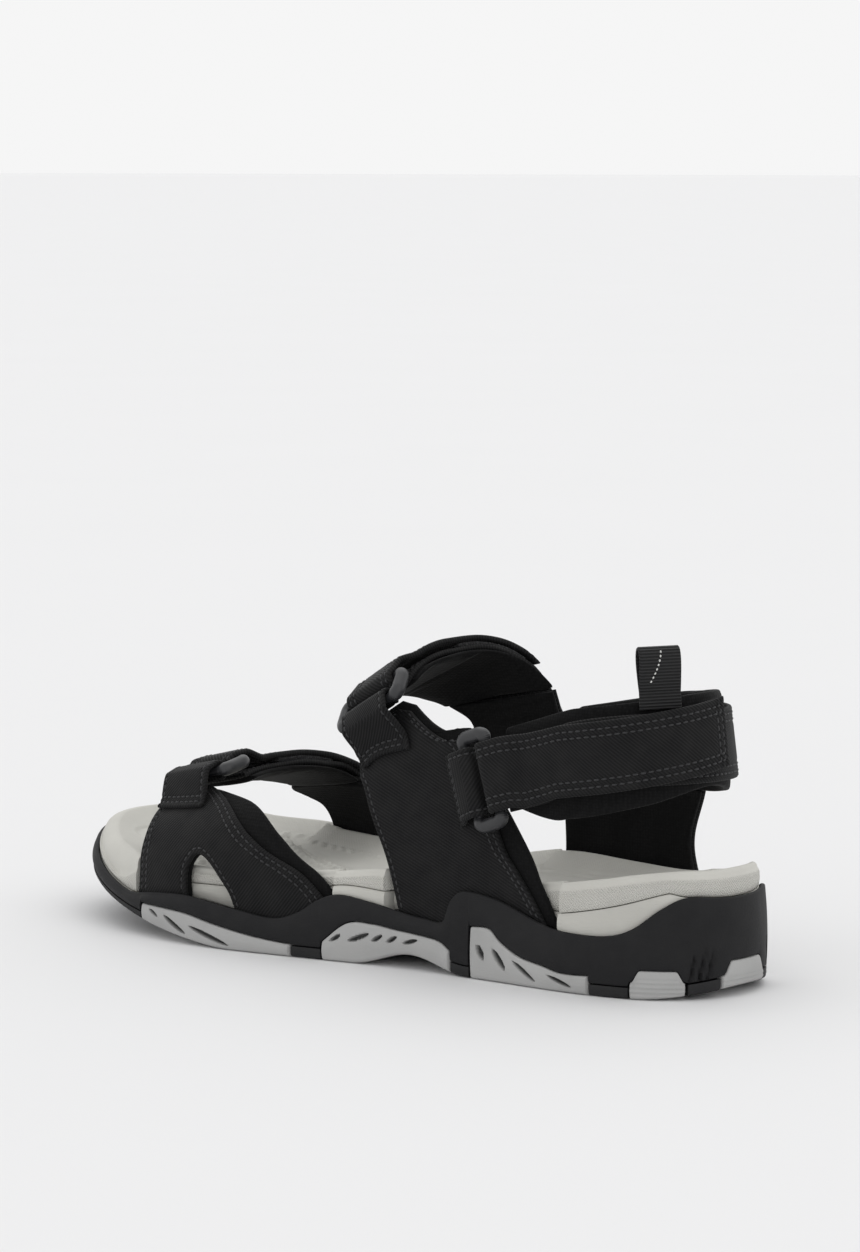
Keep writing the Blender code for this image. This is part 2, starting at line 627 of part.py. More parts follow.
def make_lateral_quarter(twill, knit):
    """The outer stands from the cup to the instep ring and dips between it and the heel ring."""
    front = QUARTER_LATERAL_FRONT + QUARTER_LATERAL_TOP[1:]
    rear = QUARTER_LATERAL_REAR + QUARTER_LATERAL_DIP[1:]
    outer = panel(front, rear, 1, OUTER[0], 17, 10)
    add_sheet("quarter_lateral_outer", outer, OUTER[1], twill)
    front = LINING_LATERAL_FRONT + ((139, 78), (133, 84), (126, 89))
    rear = LINING_LATERAL_REAR + ((102, 81), (110, 83), (120, 88.5))
    lining = panel(front, rear, 1, LINING[0], 17, 11)
    add_sheet("quarter_lateral_lining", lining, LINING[1], knit)


def make_medial_quarter(twill, knit):
    """Rises from the cup ahead of the heel opening, runs back to the collar and up to the instep."""
    front = ((160, 18), (152, 42), (142, 58), (136, 70), (136, 77), (141, 82))
    rear = ((131, 18), (130, 40), (122, 54), (104, 62), (98.5, 75), (100, 90))
    add_sheet("quarter_medial_outer", panel(front, rear, -1, OUTER[0], 12, 6), OUTER[1], twill)
    add_sheet("quarter_medial_lining", panel(front, rear, -1, LINING[0], 12, 6), LINING[1], knit)


# ---------------------------------------------------------------- rings, tabs and straps
class RingFrame:
    """Axes at a ring's strap bar: w along the bar, m along the strap away from the ring, n outwards."""

    def __init__(self, first, second, outward, away):
        self.centre = 0.5 * (first + second)
        self.w = (second - first) / np.linalg.norm(second - first)
        self.n = outward - self.w * (outward @ self.w)
        self.n /= np.linalg.norm(self.n)
        self.m = np.cross(self.w, self.n)
        if self.m @ away < 0:
            self.m = -self.m
        self.anchor = self.centre - self.m * BAR_SPACING

    def at(self, along, up, across, base=None):
        """A point from distances along m, n and w."""
        base = self.centre if base is None else base
        parts_of = (np.asarray(along, float), np.asarray(up, float), np.asarray(across, float))
        along, up, across = (np.asarray(v)[..., None] for v in np.broadcast_arrays(*parts_of))
        return base + along * self.m + up * self.n + across * self.w


def add_ring(name, frame, pivot):
    """A rounded oblong of round bar, swept as a closed tube."""
    half_long = 0.5 * STRAP_WIDTH + SLOT_CLEARANCE + RING_BAR
    corner = 2.6
    path = []
    for cx, cy, start in ((1, 1, 0), (-1, 1, 90), (-1, -1, 180), (1, -1, 270)):
        for turn in np.radians(start + np.array([0.0, 30.0, 60.0, 90.0])):
            x = cx * (half_long - corner) + corner * math.cos(turn)
            y = cy * (0.5 * BAR_SPACING - corner) + corner * math.sin(turn)
            path.append((x, y))
    path = np.array(path)
    ahead = np.roll(path, -1, 0) - np.roll(path, 1, 0)
    side = np.column_stack([ahead[:, 1], -ahead[:, 0]])
    side /= np.linalg.norm(side, axis=1, keepdims=True)
    turn = np.linspace(0, 2 * math.pi, 8, endpoint=False) + math.pi / 8
    out, up = RING_BAR * np.cos(turn), RING_BAR * np.sin(turn)
    middle = frame.centre - frame.m * BAR_SPACING / 2
    across = path[:, None, 0] + side[:, None, 0] * out
    along = path[:, None, 1] + side[:, None, 1] * out
    points = frame.at(along, np.broadcast_to(up, along.shape), across, middle)
    count, corners = points.shape[:2]
    faces = grid_faces(count + 1, corners, wrap=True) % (count * corners)
    plastic = material("ring_plastic", RING_GREY, 0.35)
    return add_mesh(name, points.reshape(-1, 3), faces, plastic, pivot)


def add_tab(name, frame, drop):
    """Fabric sewn to the panel and turned round the anchor bar: a teardrop with a hole, carried across."""
    turns = np.radians(np.linspace(-90, 112, 8))
    outer = np.column_stack([TAB_RADIUS * np.cos(turns), TAB_RADIUS * np.sin(turns)])
    tail = np.array([(-TAB_LENGTH, -TAB_RADIUS + 1.7 - drop), (-TAB_LENGTH, -TAB_RADIUS - drop)])
    middle = np.array([(-0.5 * TAB_LENGTH, -TAB_RADIUS - 0.3 * drop)])
    outer = np.vstack([outer, tail, middle])
    hole_turns = np.radians(-90 + 360 * np.arange(len(outer)) / len(outer))
    hole = TAB_HOLE * np.column_stack([np.cos(hole_turns), np.sin(hole_turns)])
    half = 0.5 * STRAP_WIDTH - 0.4
    loops = []
    for shape, across in ((outer, -half), (outer, half), (hole, half), (hole, -half)):
        loops.append(frame.at(shape[:, 0], shape[:, 1], np.full(len(shape), across), frame.anchor))
    points = np.array(loops)
    count = len(outer)
    faces = grid_faces(5, count, wrap=True) % (4 * count)
    return add_mesh(name, points.reshape(-1, 3), faces, material("black_twill", BLACK, 0.9))


def flap_rows(frame, surface_rows, columns, width):
    """Rows of a flap: half a turn round the strap bar, then a smooth step down to the given rows."""
    across = np.linspace(-0.5, 0.5, columns) * width
    rows = []
    for turn in np.radians(np.linspace(270, 90, 8)):
        along = FOLD_RADIUS * math.cos(turn)
        rows.append(frame.at(np.full(columns, along), np.full(columns, FOLD_RADIUS * math.sin(turn)), across))
    distance = np.linalg.norm(surface_rows.mean(1) - frame.centre, axis=1)
    settle = 14.0
    for row, far in zip(surface_rows, distance):
        share = smoothstep((far - 3) / (settle - 3))
        flat = frame.at(np.full(columns, far), np.full(columns, FOLD_RADIUS), across)
        rows.append(flat * (1 - share) + row * share)
    return np.array(rows)


# Strap edges as (station, angle) from the ring to the far end of the base, and where the flap ends
FOREFOOT_FRONT = ((229, 69), (231, 90), (231, 110), (230, 129.5))
FOREFOOT_REAR = ((205, 69), (206, 90), (202, 110), (199, 132))
FOREFOOT_FLAP_END = ((228, 138), (196, 140))
INSTEP_FRONT = ((144.6, 60), (149, 90), (147, 109), (141.5, 120.5))
INSTEP_REAR = ((125.6, 60), (122, 90), (114, 110), (101.5, 133))
INSTEP_FLAP_END = ((143, 121), (106, 127))


def crossing_frame(front, rear, away):
    """The ring frame of a strap that crosses the last, at the first points of its edges."""
    bar = front[0][1]
    first, second = last_point(front[0][0], bar, BAR_LIFT), last_point(rear[0][0], bar, BAR_LIFT)
    middle = 0.5 * (front[0][0] + rear[0][0])
    outward = last_point(middle, bar, 9.0) - last_point(middle, bar, 8.0)
    return RingFrame(first, second, outward, np.array(away))


def forefoot_frame():
    return crossing_frame(FOREFOOT_FRONT, FOREFOOT_REAR, (0, -1.0, 0))


def instep_frame():
    return crossing_frame(INSTEP_FRONT, INSTEP_REAR, (0, -1.0, 0.3))


def strap_set(name, frame, front, rear, flap_end, tab_drop):
    """Base, pad, patches, flap, ring and tab of a strap that crosses the last."""
    twill, knit = material("black_twill", BLACK, 0.9), material("black_lining", BLACK, 0.95)
    swivel = add_pivot(f"{name}_ring_axis", frame.anchor)
    hinge = add_pivot(f"{name}_flap_axis", frame.centre, swivel)
    add_sheet(f"{name}_strap_base", strap_band(front, rear, OUTER[0], 13, 4), OUTER[1], twill)
    pad_front = ((front[0][0], front[0][1] + 4), *front[1:])
    pad_rear = ((rear[0][0], rear[0][1] + 4), *rear[1:])
    add_sheet(f"{name}_strap_pad", strap_band(pad_front, pad_rear, LINING[0], 13, 4), LINING[1], knit)
    patch_front = tuple((x - 2, a) for x, a in between(front, 0.38, 0.84))
    patch_rear = tuple((x + 2, a) for x, a in between(rear, 0.38, 0.84))
    loops, hooks = material("loop_patch", BLACK, 1.0), material("hook_patch", BLACK, 0.7)
    add_sheet(f"{name}_loop_patch", strap_band(patch_front, patch_rear, LOOP_PATCH[0], 5, 4), LOOP_PATCH[1], loops)
    add_sheet(
        f"{name}_hook_patch", strap_band(patch_front, patch_rear, HOOK_PATCH[0], 5, 4), HOOK_PATCH[1], hooks, hinge
    )
    flap_front, flap_rear = between(front, 0.1, 0.8) + flap_end[:1], between(rear, 0.1, 0.8) + flap_end[1:]
    span = strap_band(flap_front, flap_rear, FLAP[0], 13, 4)
    add_sheet(f"{name}_flap", flap_rows(frame, span, 4, STRAP_WIDTH), FLAP[1], twill, hinge)
    add_ring(f"{name}_ring", frame, swivel)
    add_tab(f"{name}_ring_tab", frame, tab_drop)


def between(edge, low, high):
    """The stretch of an edge between two shares of its length, as three points."""
    curve = catmull(edge, 101)
    return tuple(tuple(curve[int(round(100 * s))]) for s in np.linspace(low, high, 3))


# Heel strap edges as (place round the heel, height)
HEEL_LOW = ((0.52, 57.5), (0.85, 62), (1.25, 69), (1.52, 73.5))
HEEL_HIGH = ((0.34, 80.5), (0.85, 86), (1.25, 92.5), (1.52, 96.5))
COLLAR_LOW = ((0.4, 60), (0.8, 56), (1.0, 56.5), (1.25, 62), (1.5, 67), (1.75, 62), (2.0, 59), (2.5, 59), (2.92, 62))
COLLAR_HIGH = ((0.4, 85), (0.6, 88), (1.0, 94), (1.25, 97), (1.5, 98.5), (1.75, 97), (2.0, 94), (2.5, 89), (2.92, 85))


def heel_band(low, high, lift, rows, columns):
    first, second = catmull(low, rows), catmull(high, rows)
    share = np.linspace(0, 1, columns)[None, :, None]
    place = first[:, None] * (1 - share) + second[:, None] * share
    return heel_point(place[..., 0], place[..., 1], np.full(place.shape[:2], lift))


def make_collar():
    """A padded band round the heel: a rounded section between its lower and upper edges."""
    low, high = catmull(COLLAR_LOW, 33), catmull(COLLAR_HIGH, 33)
    turn = np.linspace(0, 2 * math.pi, 12, endpoint=False)
    depth = COLLAR_THICKNESS * (0.5 - 0.5 * np.sign(np.cos(turn)) * np.abs(np.cos(turn)) ** 0.5)
    height = 0.5 + 0.5 * np.sign(np.sin(turn)) * np.abs(np.sin(turn)) ** 0.7
    place = low[:, None, 0] * (1 - height) + high[:, None, 0] * height
    z = low[:, None, 1] * (1 - height) + high[:, None, 1] * height
    sections = heel_point(place, z, np.broadcast_to(depth, z.shape))
    add_sweep("heel_collar", sections, material("black_lining", BLACK, 0.95))


def heel_frame():
    low, high = np.array(HEEL_LOW[0]), np.array(HEEL_HIGH[0])
    first, second = (heel_point(p[0], p[1], HEEL_BAR_LIFT) for p in (low, high))
    middle = 0.5 * (low + high)
    outward = heel_point(*middle, 9.0) - heel_point(*middle, 8.0)
    return RingFrame(first, second, outward, np.array([-1.0, 0, 0]))


def make_heel_strap():
    twill = material("black_twill", BLACK, 0.9)
    frame = heel_frame()
    swivel = add_pivot("heel_ring_axis", frame.anchor)
    hinge = add_pivot("heel_flap_axis", frame.centre, swivel)
    base_low, base_high = HEEL_LOW[:3] + ((2.0, 66), (2.5, 64)), HEEL_HIGH[:3] + ((2.0, 90), (2.5, 86))
    add_sheet("heel_strap_base", heel_band(base_low, base_high, HEEL_STACK["base"], 27, 3), OUTER[1], twill)
    patch_low = tuple((a, z + 2) for a, z in between(HEEL_LOW, 0.45, 0.95))
    patch_high = tuple((a, z - 2) for a, z in between(HEEL_HIGH, 0.45, 0.95))
    loops, hooks = material("loop_patch", BLACK, 1.0), material("hook_patch", BLACK, 0.7)
    add_sheet("heel_loop_patch", heel_band(patch_low, patch_high, HEEL_STACK["loop"], 10, 3), LOOP_PATCH[1], loops)
    add_sheet("heel_hook_patch", heel_band(patch_low, patch_high, HEEL_STACK["hook"], 10, 3), HOOK_PATCH[1], hooks, hinge)
    flap_low, flap_high = catmull(HEEL_LOW, 101)[10:], catmull(HEEL_HIGH, 101)[10:]
    span = heel_band(flap_low[::15], flap_high[::15], HEEL_STACK["flap"], 15, 4)
    add_sheet("heel_flap", flap_rows(frame, span, 4, STRAP_WIDTH), FLAP[1], twill, hinge)
    add_ring("heel_ring", frame, swivel)
    add_tab("heel_ring_tab", frame, 1.5)


def make_pull_tab():
    """A loop of ribbed webbing above the collar and the sewn root that holds it."""
    place, foot = 1.31, 97.9
    webbing = material("black_webbing", BLACK, 0.8)
    root_low, root_high = heel_point(place, foot - 4.0, 0), heel_point(place, foot, 0)
    outward = heel_point(place, foot, 1.0) - root_high
    up = (root_high - root_low) / np.linalg.norm(root_high - root_low)
    along = np.cross(outward, up)
    half = 0.5 * TAB_WIDTH
    lift = COLLAR_THICKNESS + 0.4 + 0.5 * WEBBING
    across = np.linspace(-half, half, 4)[None, :, None] * along
    rise = np.linspace(0, 1, 3)[:, None, None]
    root = root_low * (1 - rise) + root_high * rise + outward * lift + across
    add_sheet("pull_tab_root", root, WEBBING, webbing)
    hinge_point = root_high + outward * lift + up * 1.2
    hinge = add_pivot("pull_tab_axis", hinge_point)
    turns = np.linspace(0, 2 * math.pi, 20, endpoint=False)
    outline = []
    for offset in (0.0, WEBBING):
        width = (TAB_HALF_GAP - offset) * np.sin(turns) * (0.62 - 0.38 * np.cos(turns))
        rise = offset + (TAB_HEIGHT - 2 * offset) * (0.5 - 0.5 * np.cos(turns))
        outline.append(np.column_stack([width, rise]))
    loops = []
    for shape, side in ((outline[0], -half), (outline[0], half), (outline[1], half), (outline[1], -half)):
        loops.append(hinge_point + shape[:, :1] * outward + shape[:, 1:] * up + side * along)
    count = len(turns)
    faces = grid_faces(5, count, wrap=True) % (4 * count)
    add_mesh("pull_tab_loop", np.vstack(loops), faces, webbing, hinge)


for existing in list(bpy.data.objects):
    bpy.data.objects.remove(existing, do_unlink=True)
parts = collection("sport_sandal")
make_sole()
make_pods()
make_panels()
strap_set("forefoot", forefoot_frame(), FOREFOOT_FRONT, FOREFOOT_REAR, FOREFOOT_FLAP_END, 1.4)
strap_set("instep", instep_frame(), INSTEP_FRONT, INSTEP_REAR, INSTEP_FLAP_END, 1.2)
make_collar()
make_heel_strap()
make_pull_tab()
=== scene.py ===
"""Finished look of a strappy sport sandal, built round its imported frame.

Lengths are in station millimetres: the station runs from the back of the heel (0) to the tip of the toe,
+Y is the outer (lateral) side and +Z is up. A piece's points become metres about the frame's origin when
its mesh is made. Soft pieces lie on a last, the foot-shaped surface that the upper is made round.
"""

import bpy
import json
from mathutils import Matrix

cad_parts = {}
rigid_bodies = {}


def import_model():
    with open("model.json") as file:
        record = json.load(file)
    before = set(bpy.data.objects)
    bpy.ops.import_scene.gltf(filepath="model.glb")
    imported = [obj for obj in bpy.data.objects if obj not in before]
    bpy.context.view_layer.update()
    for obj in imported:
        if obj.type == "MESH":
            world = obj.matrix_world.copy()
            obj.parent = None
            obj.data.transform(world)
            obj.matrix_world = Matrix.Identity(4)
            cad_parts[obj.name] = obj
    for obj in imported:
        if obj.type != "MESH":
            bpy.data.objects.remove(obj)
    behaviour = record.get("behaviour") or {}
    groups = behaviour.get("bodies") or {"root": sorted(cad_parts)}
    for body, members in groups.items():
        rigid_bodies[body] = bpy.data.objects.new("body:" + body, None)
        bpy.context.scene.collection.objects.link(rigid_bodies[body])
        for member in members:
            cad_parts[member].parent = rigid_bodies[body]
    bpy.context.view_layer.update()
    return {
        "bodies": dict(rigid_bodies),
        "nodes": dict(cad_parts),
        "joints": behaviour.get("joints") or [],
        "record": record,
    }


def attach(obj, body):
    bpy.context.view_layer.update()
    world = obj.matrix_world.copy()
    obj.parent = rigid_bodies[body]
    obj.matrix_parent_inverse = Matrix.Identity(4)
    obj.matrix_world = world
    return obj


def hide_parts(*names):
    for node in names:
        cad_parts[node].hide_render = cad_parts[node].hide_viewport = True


bl_info = {
    "name": "Sport Sandal",
    "version": (1, 0, 0),
    "blender": (4, 5, 0),
    "location": "View3D > Sidebar > Sandal",
    "description": "Builds the sole, upper, straps and rings of a sport sandal round its frame",
    "category": "Object",
}

import json
import math

import bmesh
import bpy
import numpy as np
from mathutils import Vector

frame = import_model()

MM = 0.001
ROOT = "sole_and_upper"

# ---------------------------------------------------------------- sizes of the sole
LENGTH = 292.0
OUTLINE = (
    (0, 0), (5, 18), (20, 31), (45, 37), (85, 38), (125, 41), (160, 47.5), (195, 53), (225, 51),
    (252, 42), (273, 28), (287, 10), (291.5, -8), (288, -25), (276, -38), (256, -48), (228, -53),
    (200, -51), (170, -43.5), (140, -37), (110, -34.5), (75, -36), (45, -37), (20, -31), (5, -18),
)
SPINE_START, SPINE_END = 36.0, 252.0
TOE_SPRING, SPRING_START, SPRING_POWER = 20.5, 186.0, 1.35
HEEL_LIFT, HEEL_LIFT_LENGTH = 3.5, 24.0
WAIST_LIFT, WAIST_MIDDLE, WAIST_HALF = 5.0, 113.0, 24.0
TREAD_DEPTH = ((0, 3.7), (150, 3.7), (205, 3.6), (240, 2.0), (292, 1.7))
CUP_TOP_LATERAL = (
    (0, 33), (8, 34), (15, 30), (24, 23), (34, 20), (50, 20), (60, 22), (75, 27), (87, 29), (93, 28.5),
    (97, 24.5), (100, 17.8), (108, 18), (116, 19), (130, 21.5), (142, 23), (150, 20.5), (158, 15.5),
    (168, 12.6), (184, 14.5), (204, 17), (222, 16), (236, 14.4), (250, 17), (264, 20.5), (276, 24),
    (292, 29.5),
)
CUP_TOP_MEDIAL = (
    (0, 33), (8, 33), (20, 27), (40, 23), (70, 26), (90, 27), (110, 24), (140, 24), (165, 18), (200, 17),
    (222, 17), (245, 18), (270, 22.5), (292, 29.5),
)
SHELF_DROP = 2.4
CUP_FLOOR = ((0, 3.0), (150, 3.0), (205, 2.9), (240, 1.7), (292, 1.7))
CORE_TOP_LATERAL = (
    (0, 37), (12, 35), (32, 29.5), (58, 25), (75, 28.5), (87, 30.5), (95, 30), (104, 26), (120, 25),
    (142, 26), (160, 22), (200, 20.5), (236, 19.5), (264, 22.8), (276, 26), (292, 31),
)
CORE_TOP_MEDIAL = (
    (0, 37), (12, 35), (30, 30), (50, 28), (90, 29), (120, 26.5), (145, 25.5), (170, 22.5), (222, 20.5),
    (245, 21.5), (270, 25), (292, 31),
)
RIM_LATERAL = (
    (0, 42), (10, 42.5), (22, 41), (36, 38.5), (66, 34), (100, 33.5), (126, 33), (142, 31), (165, 28.5),
    (200, 26.5), (230, 27), (258, 29), (280, 32), (292, 34),
)
RIM_MEDIAL = (
    (0, 42), (10, 39.5), (22, 36), (36, 34), (49, 33), (70, 34), (87, 35), (99, 34.5), (111, 32.5),
    (124, 30), (150, 28), (207, 28), (218, 29), (241, 30), (258, 32), (273, 34), (292, 34),
)
DISH = ((36, 30), (60, 28.5), (100, 27), (140, 24.5), (180, 21.5), (210, 21.5), (240, 24), (252, 26))
OPEN_INSET, STRAP_INSET, CAVITY_INSET, RECESS_INSET = 3.0, 7.8, 9.0, 3.7
LATERAL_STRAP_ZONES = ((53.0, 124.6), (145.2, 233.4))
MEDIAL_STRAP_ZONES = ((37.5, 100.5), (129.3, 161.5), (164.0, 222.8))
GAP, POD_DEPTH = 0.3, 13.0
SIDE_PODS = {
    "forefoot": ((160, 228), ((160, 4), (175, 5.5), (190, 8), (203, 10.5), (213, 11.2), (228, 11.5))),
    "waist": ((96, 148), ((96, 8), (101, 11), (110, 12.2), (119, 13), (128, 14), (138, 13.5), (148, 6))),
    "rear": ((39, 88), ((34, 6.5), (49, 6), (57, 7.5), (67, 9.5), (75, 13.5), (80, 17.5), (88, 17.5))),
}
HEEL_PODS = {
    "pod_heel_corner_lateral": (110.0, 140.0, 9.5),
    "pod_heel_rear": (162.0, 198.0, 12.0),
    "pod_heel_corner_medial": (220.0, 250.0, 9.5),
}
CHAMFER_DROP, CHAMFER_SHARE = 0.42, 0.17
GROOVE_ANGLES, GROOVE_DEPTH = (143.5, 148.5, 153.5, 206.5, 211.5, 216.5), 1.5
BUMPS_START, BUMPS_FIRST, BUMPS_SPREAD = 163, 165, 0.42
BUMP_ROWS, BUMP_COLUMNS, BUMP_HEIGHT, BUMP_RADIUS = 4.6, 5.3, 1.25, 1.85
# Slits moulded in the pods: middle station and height, half length, half width, slope
SLITS = {
    "forefoot": ((220, 9.2, 2.6, 0.7, 0.45), (209, 6.4, 6.0, 1.0, 0.5), (193, 4.2, 9.0, 1.0, 0.3)),
    "waist": (
        (142, 8.3, 2.4, 0.8, -0.6), (133, 9.2, 4.4, 0.9, -0.4), (125.5, 9.6, 2.4, 0.8, -0.6),
        (119.5, 9.8, 2.4, 0.8, -0.6), (112, 9.8, 3.0, 0.8, -0.3),
    ),
    "rear": (
        (82.8, 9.5, 2.6, 1.3, 1.8), (75.0, 7.8, 4.2, 1.2, 1.2), (64.5, 5.2, 5.5, 0.9, 0.6),
        (50, 3.6, 5, 0.8, 0.3)
    ),
}

# ---------------------------------------------------------------- sizes of the upper
LAST_INSET = 7.2
LAST_BASE = ((30, 10), (100, 12), (130, 20), (150, 24), (180, 25), (250, 25))
LAST_TOP = (
    (30, 165), (50, 150), (80, 127), (95, 116), (110, 108), (123, 102), (148, 88), (170, 73),
    (185, 62.5), (205, 55), (218, 51.5), (232, 48.5), (250, 45),
)
LAST_POWER = ((30, 3.0), (50, 3.0), (80, 3.0), (123, 3.0), (135, 2.5), (148, 2.15), (215, 2.2), (250, 2.3))
HEEL_CENTRE, HEEL_BACK_AT_60, HEEL_LEAN, COLLAR_FRONT = 50.0, 18.0, 0.13, 95.0

LINING = (1.05, 2.0)
OUTER = (3.0, 1.8)
LOOP_PATCH = (4.35, 0.9)
HOOK_PATCH = (5.3, 0.9)
FLAP = (6.75, 1.9)
COLLAR_THICKNESS = 4.6
HEEL_STACK = {"base": (5.8, 1.7), "loop": (7.2, 1.0), "hook": (8.25, 1.0), "flap": (9.75, 1.9)}
RING_BAR, BAR_SPACING, FOLD_RADIUS = 1.7, 9.6, 3.0
BAR_LIFT, HEEL_BAR_LIFT = 8.1, 11.0
STRAP_WIDTH, SLOT_CLEARANCE = 24.0, 0.9
TAB_WIDTH, TAB_HEIGHT, TAB_HALF_GAP, WEBBING = 14.5, 15.5, 3.2, 1.2

VAMP_LATERAL = {
    "window": ((185, 12), (188.5, 20), (195, 28), (201.5, 31), (205.5, 27), (206.5, 21), (206, 14)),
    "outer": ((149, 12), (162, 27), (180, 38.5), (200, 48), (228, 46.5), (230.5, 32), (232, 14)),
    "lining": ((146, 12), (156, 27), (169, 40), (188, 49.5), (229, 46.5), (231.8, 32), (233.4, 14)),
}
VAMP_MEDIAL = {
    "window": ((183, 13), (186, 21), (190, 27), (196, 28), (199, 25), (201, 21), (202, 15)),
    "outer": ((168, 12), (171, 27), (184, 40), (199, 47), (229, 43), (221, 35), (217, 14)),
    "lining": ((165, 12), (168, 27), (180, 40), (195, 46.5), (230, 43), (223, 35), (219, 14)),
}
QUARTER_LATERAL = {
    "outer": (
        ((120, 15), (125, 34), (130, 47), (136, 60), (141, 71), (137, 77), (131, 82), (125, 86)),
        ((58, 15), (70, 34), (77, 46), (87, 68), (96, 78), (102, 78), (110, 80.5), (120, 86)),
    ),
    "lining": (
        ((121.2, 15), (126.2, 34), (131.2, 47), (137.2, 60), (142.2, 71), (139, 78), (133, 84), (126, 89)),
        ((54, 15), (62, 32), (66.5, 43), (80, 62), (92, 82), (102, 81), (110, 83), (120, 88.5)),
    ),
}
QUARTER_MEDIAL = (
    ((160, 15), (152, 42), (142, 58), (136, 70), (136, 77), (141, 82)),
    ((131, 15), (130, 40), (122, 54), (104, 62), (98.5, 75), (100, 90)),
)
HEEL_PANEL = (((99, 16), (98, 38), (99, 60)), ((39, 16), (46.5, 40), (41.5, 60)))
FOREFOOT_FRONT = ((229, 69), (231, 90), (231, 110), (230, 129.5))
FOREFOOT_REAR = ((205, 69), (206, 90), (202, 110), (199, 132))
FOREFOOT_FLAP_END = ((228, 138), (196, 140))
INSTEP_FRONT = ((144.6, 60), (149, 90), (147, 109), (141.5, 120.5))
INSTEP_REAR = ((125.6, 60), (122, 90), (114, 110), (101.5, 133))
INSTEP_FLAP_END = ((143, 121), (106, 127))
# Where the base and the pad end on the medial panels, front and rear
FOREFOOT_SEWN = {"base": ((230, 139), (198, 147)), "pad": ((230, 132.5), (198.5, 138))}
INSTEP_SEWN = {"base": ((141, 129), (99.5, 146)), "pad": ((141.5, 122.5), (100.5, 137))}
HEEL_LOW = ((0.52, 57.5), (0.85, 62), (1.25, 69), (1.52, 73.5))
HEEL_HIGH = ((0.34, 80.5), (0.85, 86), (1.25, 92.5), (1.52, 96.5))
COLLAR_LOW = (
    (0.4, 60), (0.8, 56), (1.0, 56.5), (1.25, 62), (1.5, 67), (1.75, 62), (2.0, 59), (2.5, 59), (2.92, 62)
)
COLLAR_HIGH = (
    (0.4, 85), (0.6, 88), (1.0, 94), (1.25, 97), (1.5, 98.5), (1.75, 97), (2.0, 94), (2.5, 89), (2.92, 85)
)


# ---------------------------------------------------------------- settings a user would change
class SandalSettings(bpy.types.PropertyGroup):
    """Colours and sizes that the panel shows."""
    twill: bpy.props.FloatVectorProperty(
        name="Twill", description="Colour of the outer fabric", subtype="COLOR", size=3, default=(
            0.0062, 0.0062, 0.0067
        )
    )
    lining: bpy.props.FloatVectorProperty(
        name="Lining", description="Colour of the padded lining", subtype="COLOR", size=3, default=(
            0.0045, 0.0045, 0.0047
        )
    )
    foam: bpy.props.FloatVectorProperty(
        name="Cup foam", description="Colour of the cup sole", subtype="COLOR", size=3, default=(
            0.0085, 0.0085, 0.0095
        )
    )
    footbed: bpy.props.FloatVectorProperty(
        name="Footbed", description="Colour of the footbed", subtype="COLOR", size=3, default=(
            0.60, 0.592, 0.55
        )
    )
    pods: bpy.props.FloatVectorProperty(
        name="Pods", description="Colour of the rubber pods", subtype="COLOR", size=3, default=(
            0.40, 0.40, 0.395
        )
    )
    rings: bpy.props.FloatVectorProperty(
        name="Rings", description="Colour of the plastic rings", subtype="COLOR", size=3, default=(
            0.019, 0.0195, 0.0215
        )
    )
    stitch: bpy.props.FloatProperty(
        name="Stitch", description="Length of one stitch with its gap", unit="LENGTH", default=0.0026,
        min=0.001
    )
    weave: bpy.props.FloatProperty(
        name="Weave", description="Width of one diagonal of the twill", unit="LENGTH", default=0.0013,
        min=0.0003
    )


def settings():
    """The scene's sandal settings."""
    return bpy.context.scene.sandal


# ---------------------------------------------------------------- curves
def catmull(points, share, closed=False):
    """Points of a Catmull-Rom curve at shares 0 to 1 of its spans: the cubic through each four neighbours."""
    p = np.asarray(points, float)
    p = np.vstack([p[-1:], p, p[:2]]) if closed else np.vstack([2 * p[0] - p[1], p, 2 * p[-1] - p[-2]])
    spans = len(p) - 3
    t = np.asarray(share, float) * spans
    i = np.clip(t.astype(int), 0, spans - 1)
    f = (t - i)[..., None]
    a, b, c, d = p[i], p[i + 1], p[i + 2], p[i + 3]
    return 0.5 * (2 * b + (c - a) * f + (2 * a - 5 * b + 4 * c - d) * f**2 + (3 * b - a - 3 * c + d) * f**3)


def profile(points):
    """A height as a function of the station."""
    curve = catmull(points, np.linspace(0, 1, 24 * len(points)))
    order = np.argsort(curve[:, 0])
    return lambda x: np.interp(x, curve[order, 0], curve[order, 1])


def smooth(low, high, x):
    """0 below low, 1 above high, with a soft step between."""
    t = np.clip((np.asarray(x, float) - low) / (high - low), 0, 1)
    return t * t * (3 - 2 * t)


def hump(x, middle, half):
    """1 at the middle, falling softly to 0 at half to either side."""
    return np.clip(1 - ((x - middle) / half) ** 2, 0, 1) ** 2


def ripple(points, size, length):
    """Small waves in space: the sum of three sines that run in different directions."""
    x, y, z = (points[..., k] * (2 * math.pi / length) for k in range(3))
    wave = np.sin(x + 0.6 * z + 1.3) + np.sin(0.7 * y - 1.1 * z + 0.4 * x) + np.sin(
        1.7 * x + 1.2 * y + 0.5 * z + 2.0
    )
    return size * wave / 3


OUTLINE_CURVE = catmull(OUTLINE, np.linspace(0, 1, 1500, endpoint=False), closed=True)
MIDDLE_STATION = 0.5 * (OUTLINE_CURVE[:, 0].min() + OUTLINE_CURVE[:, 0].max())
MIDDLE_Y = 0.5 * (OUTLINE_CURVE[:, 1].min() + OUTLINE_CURVE[:, 1].max())


def side_curve(sign):
    """The outline's y on one side as a function of the station."""
    half = OUTLINE_CURVE[(OUTLINE_CURVE[:, 1] * sign > 8) & (OUTLINE_CURVE[:, 0] < 286)]
    half = half[np.argsort(half[:, 0])]
    return lambda x: np.interp(x, half[:, 0], half[:, 1])


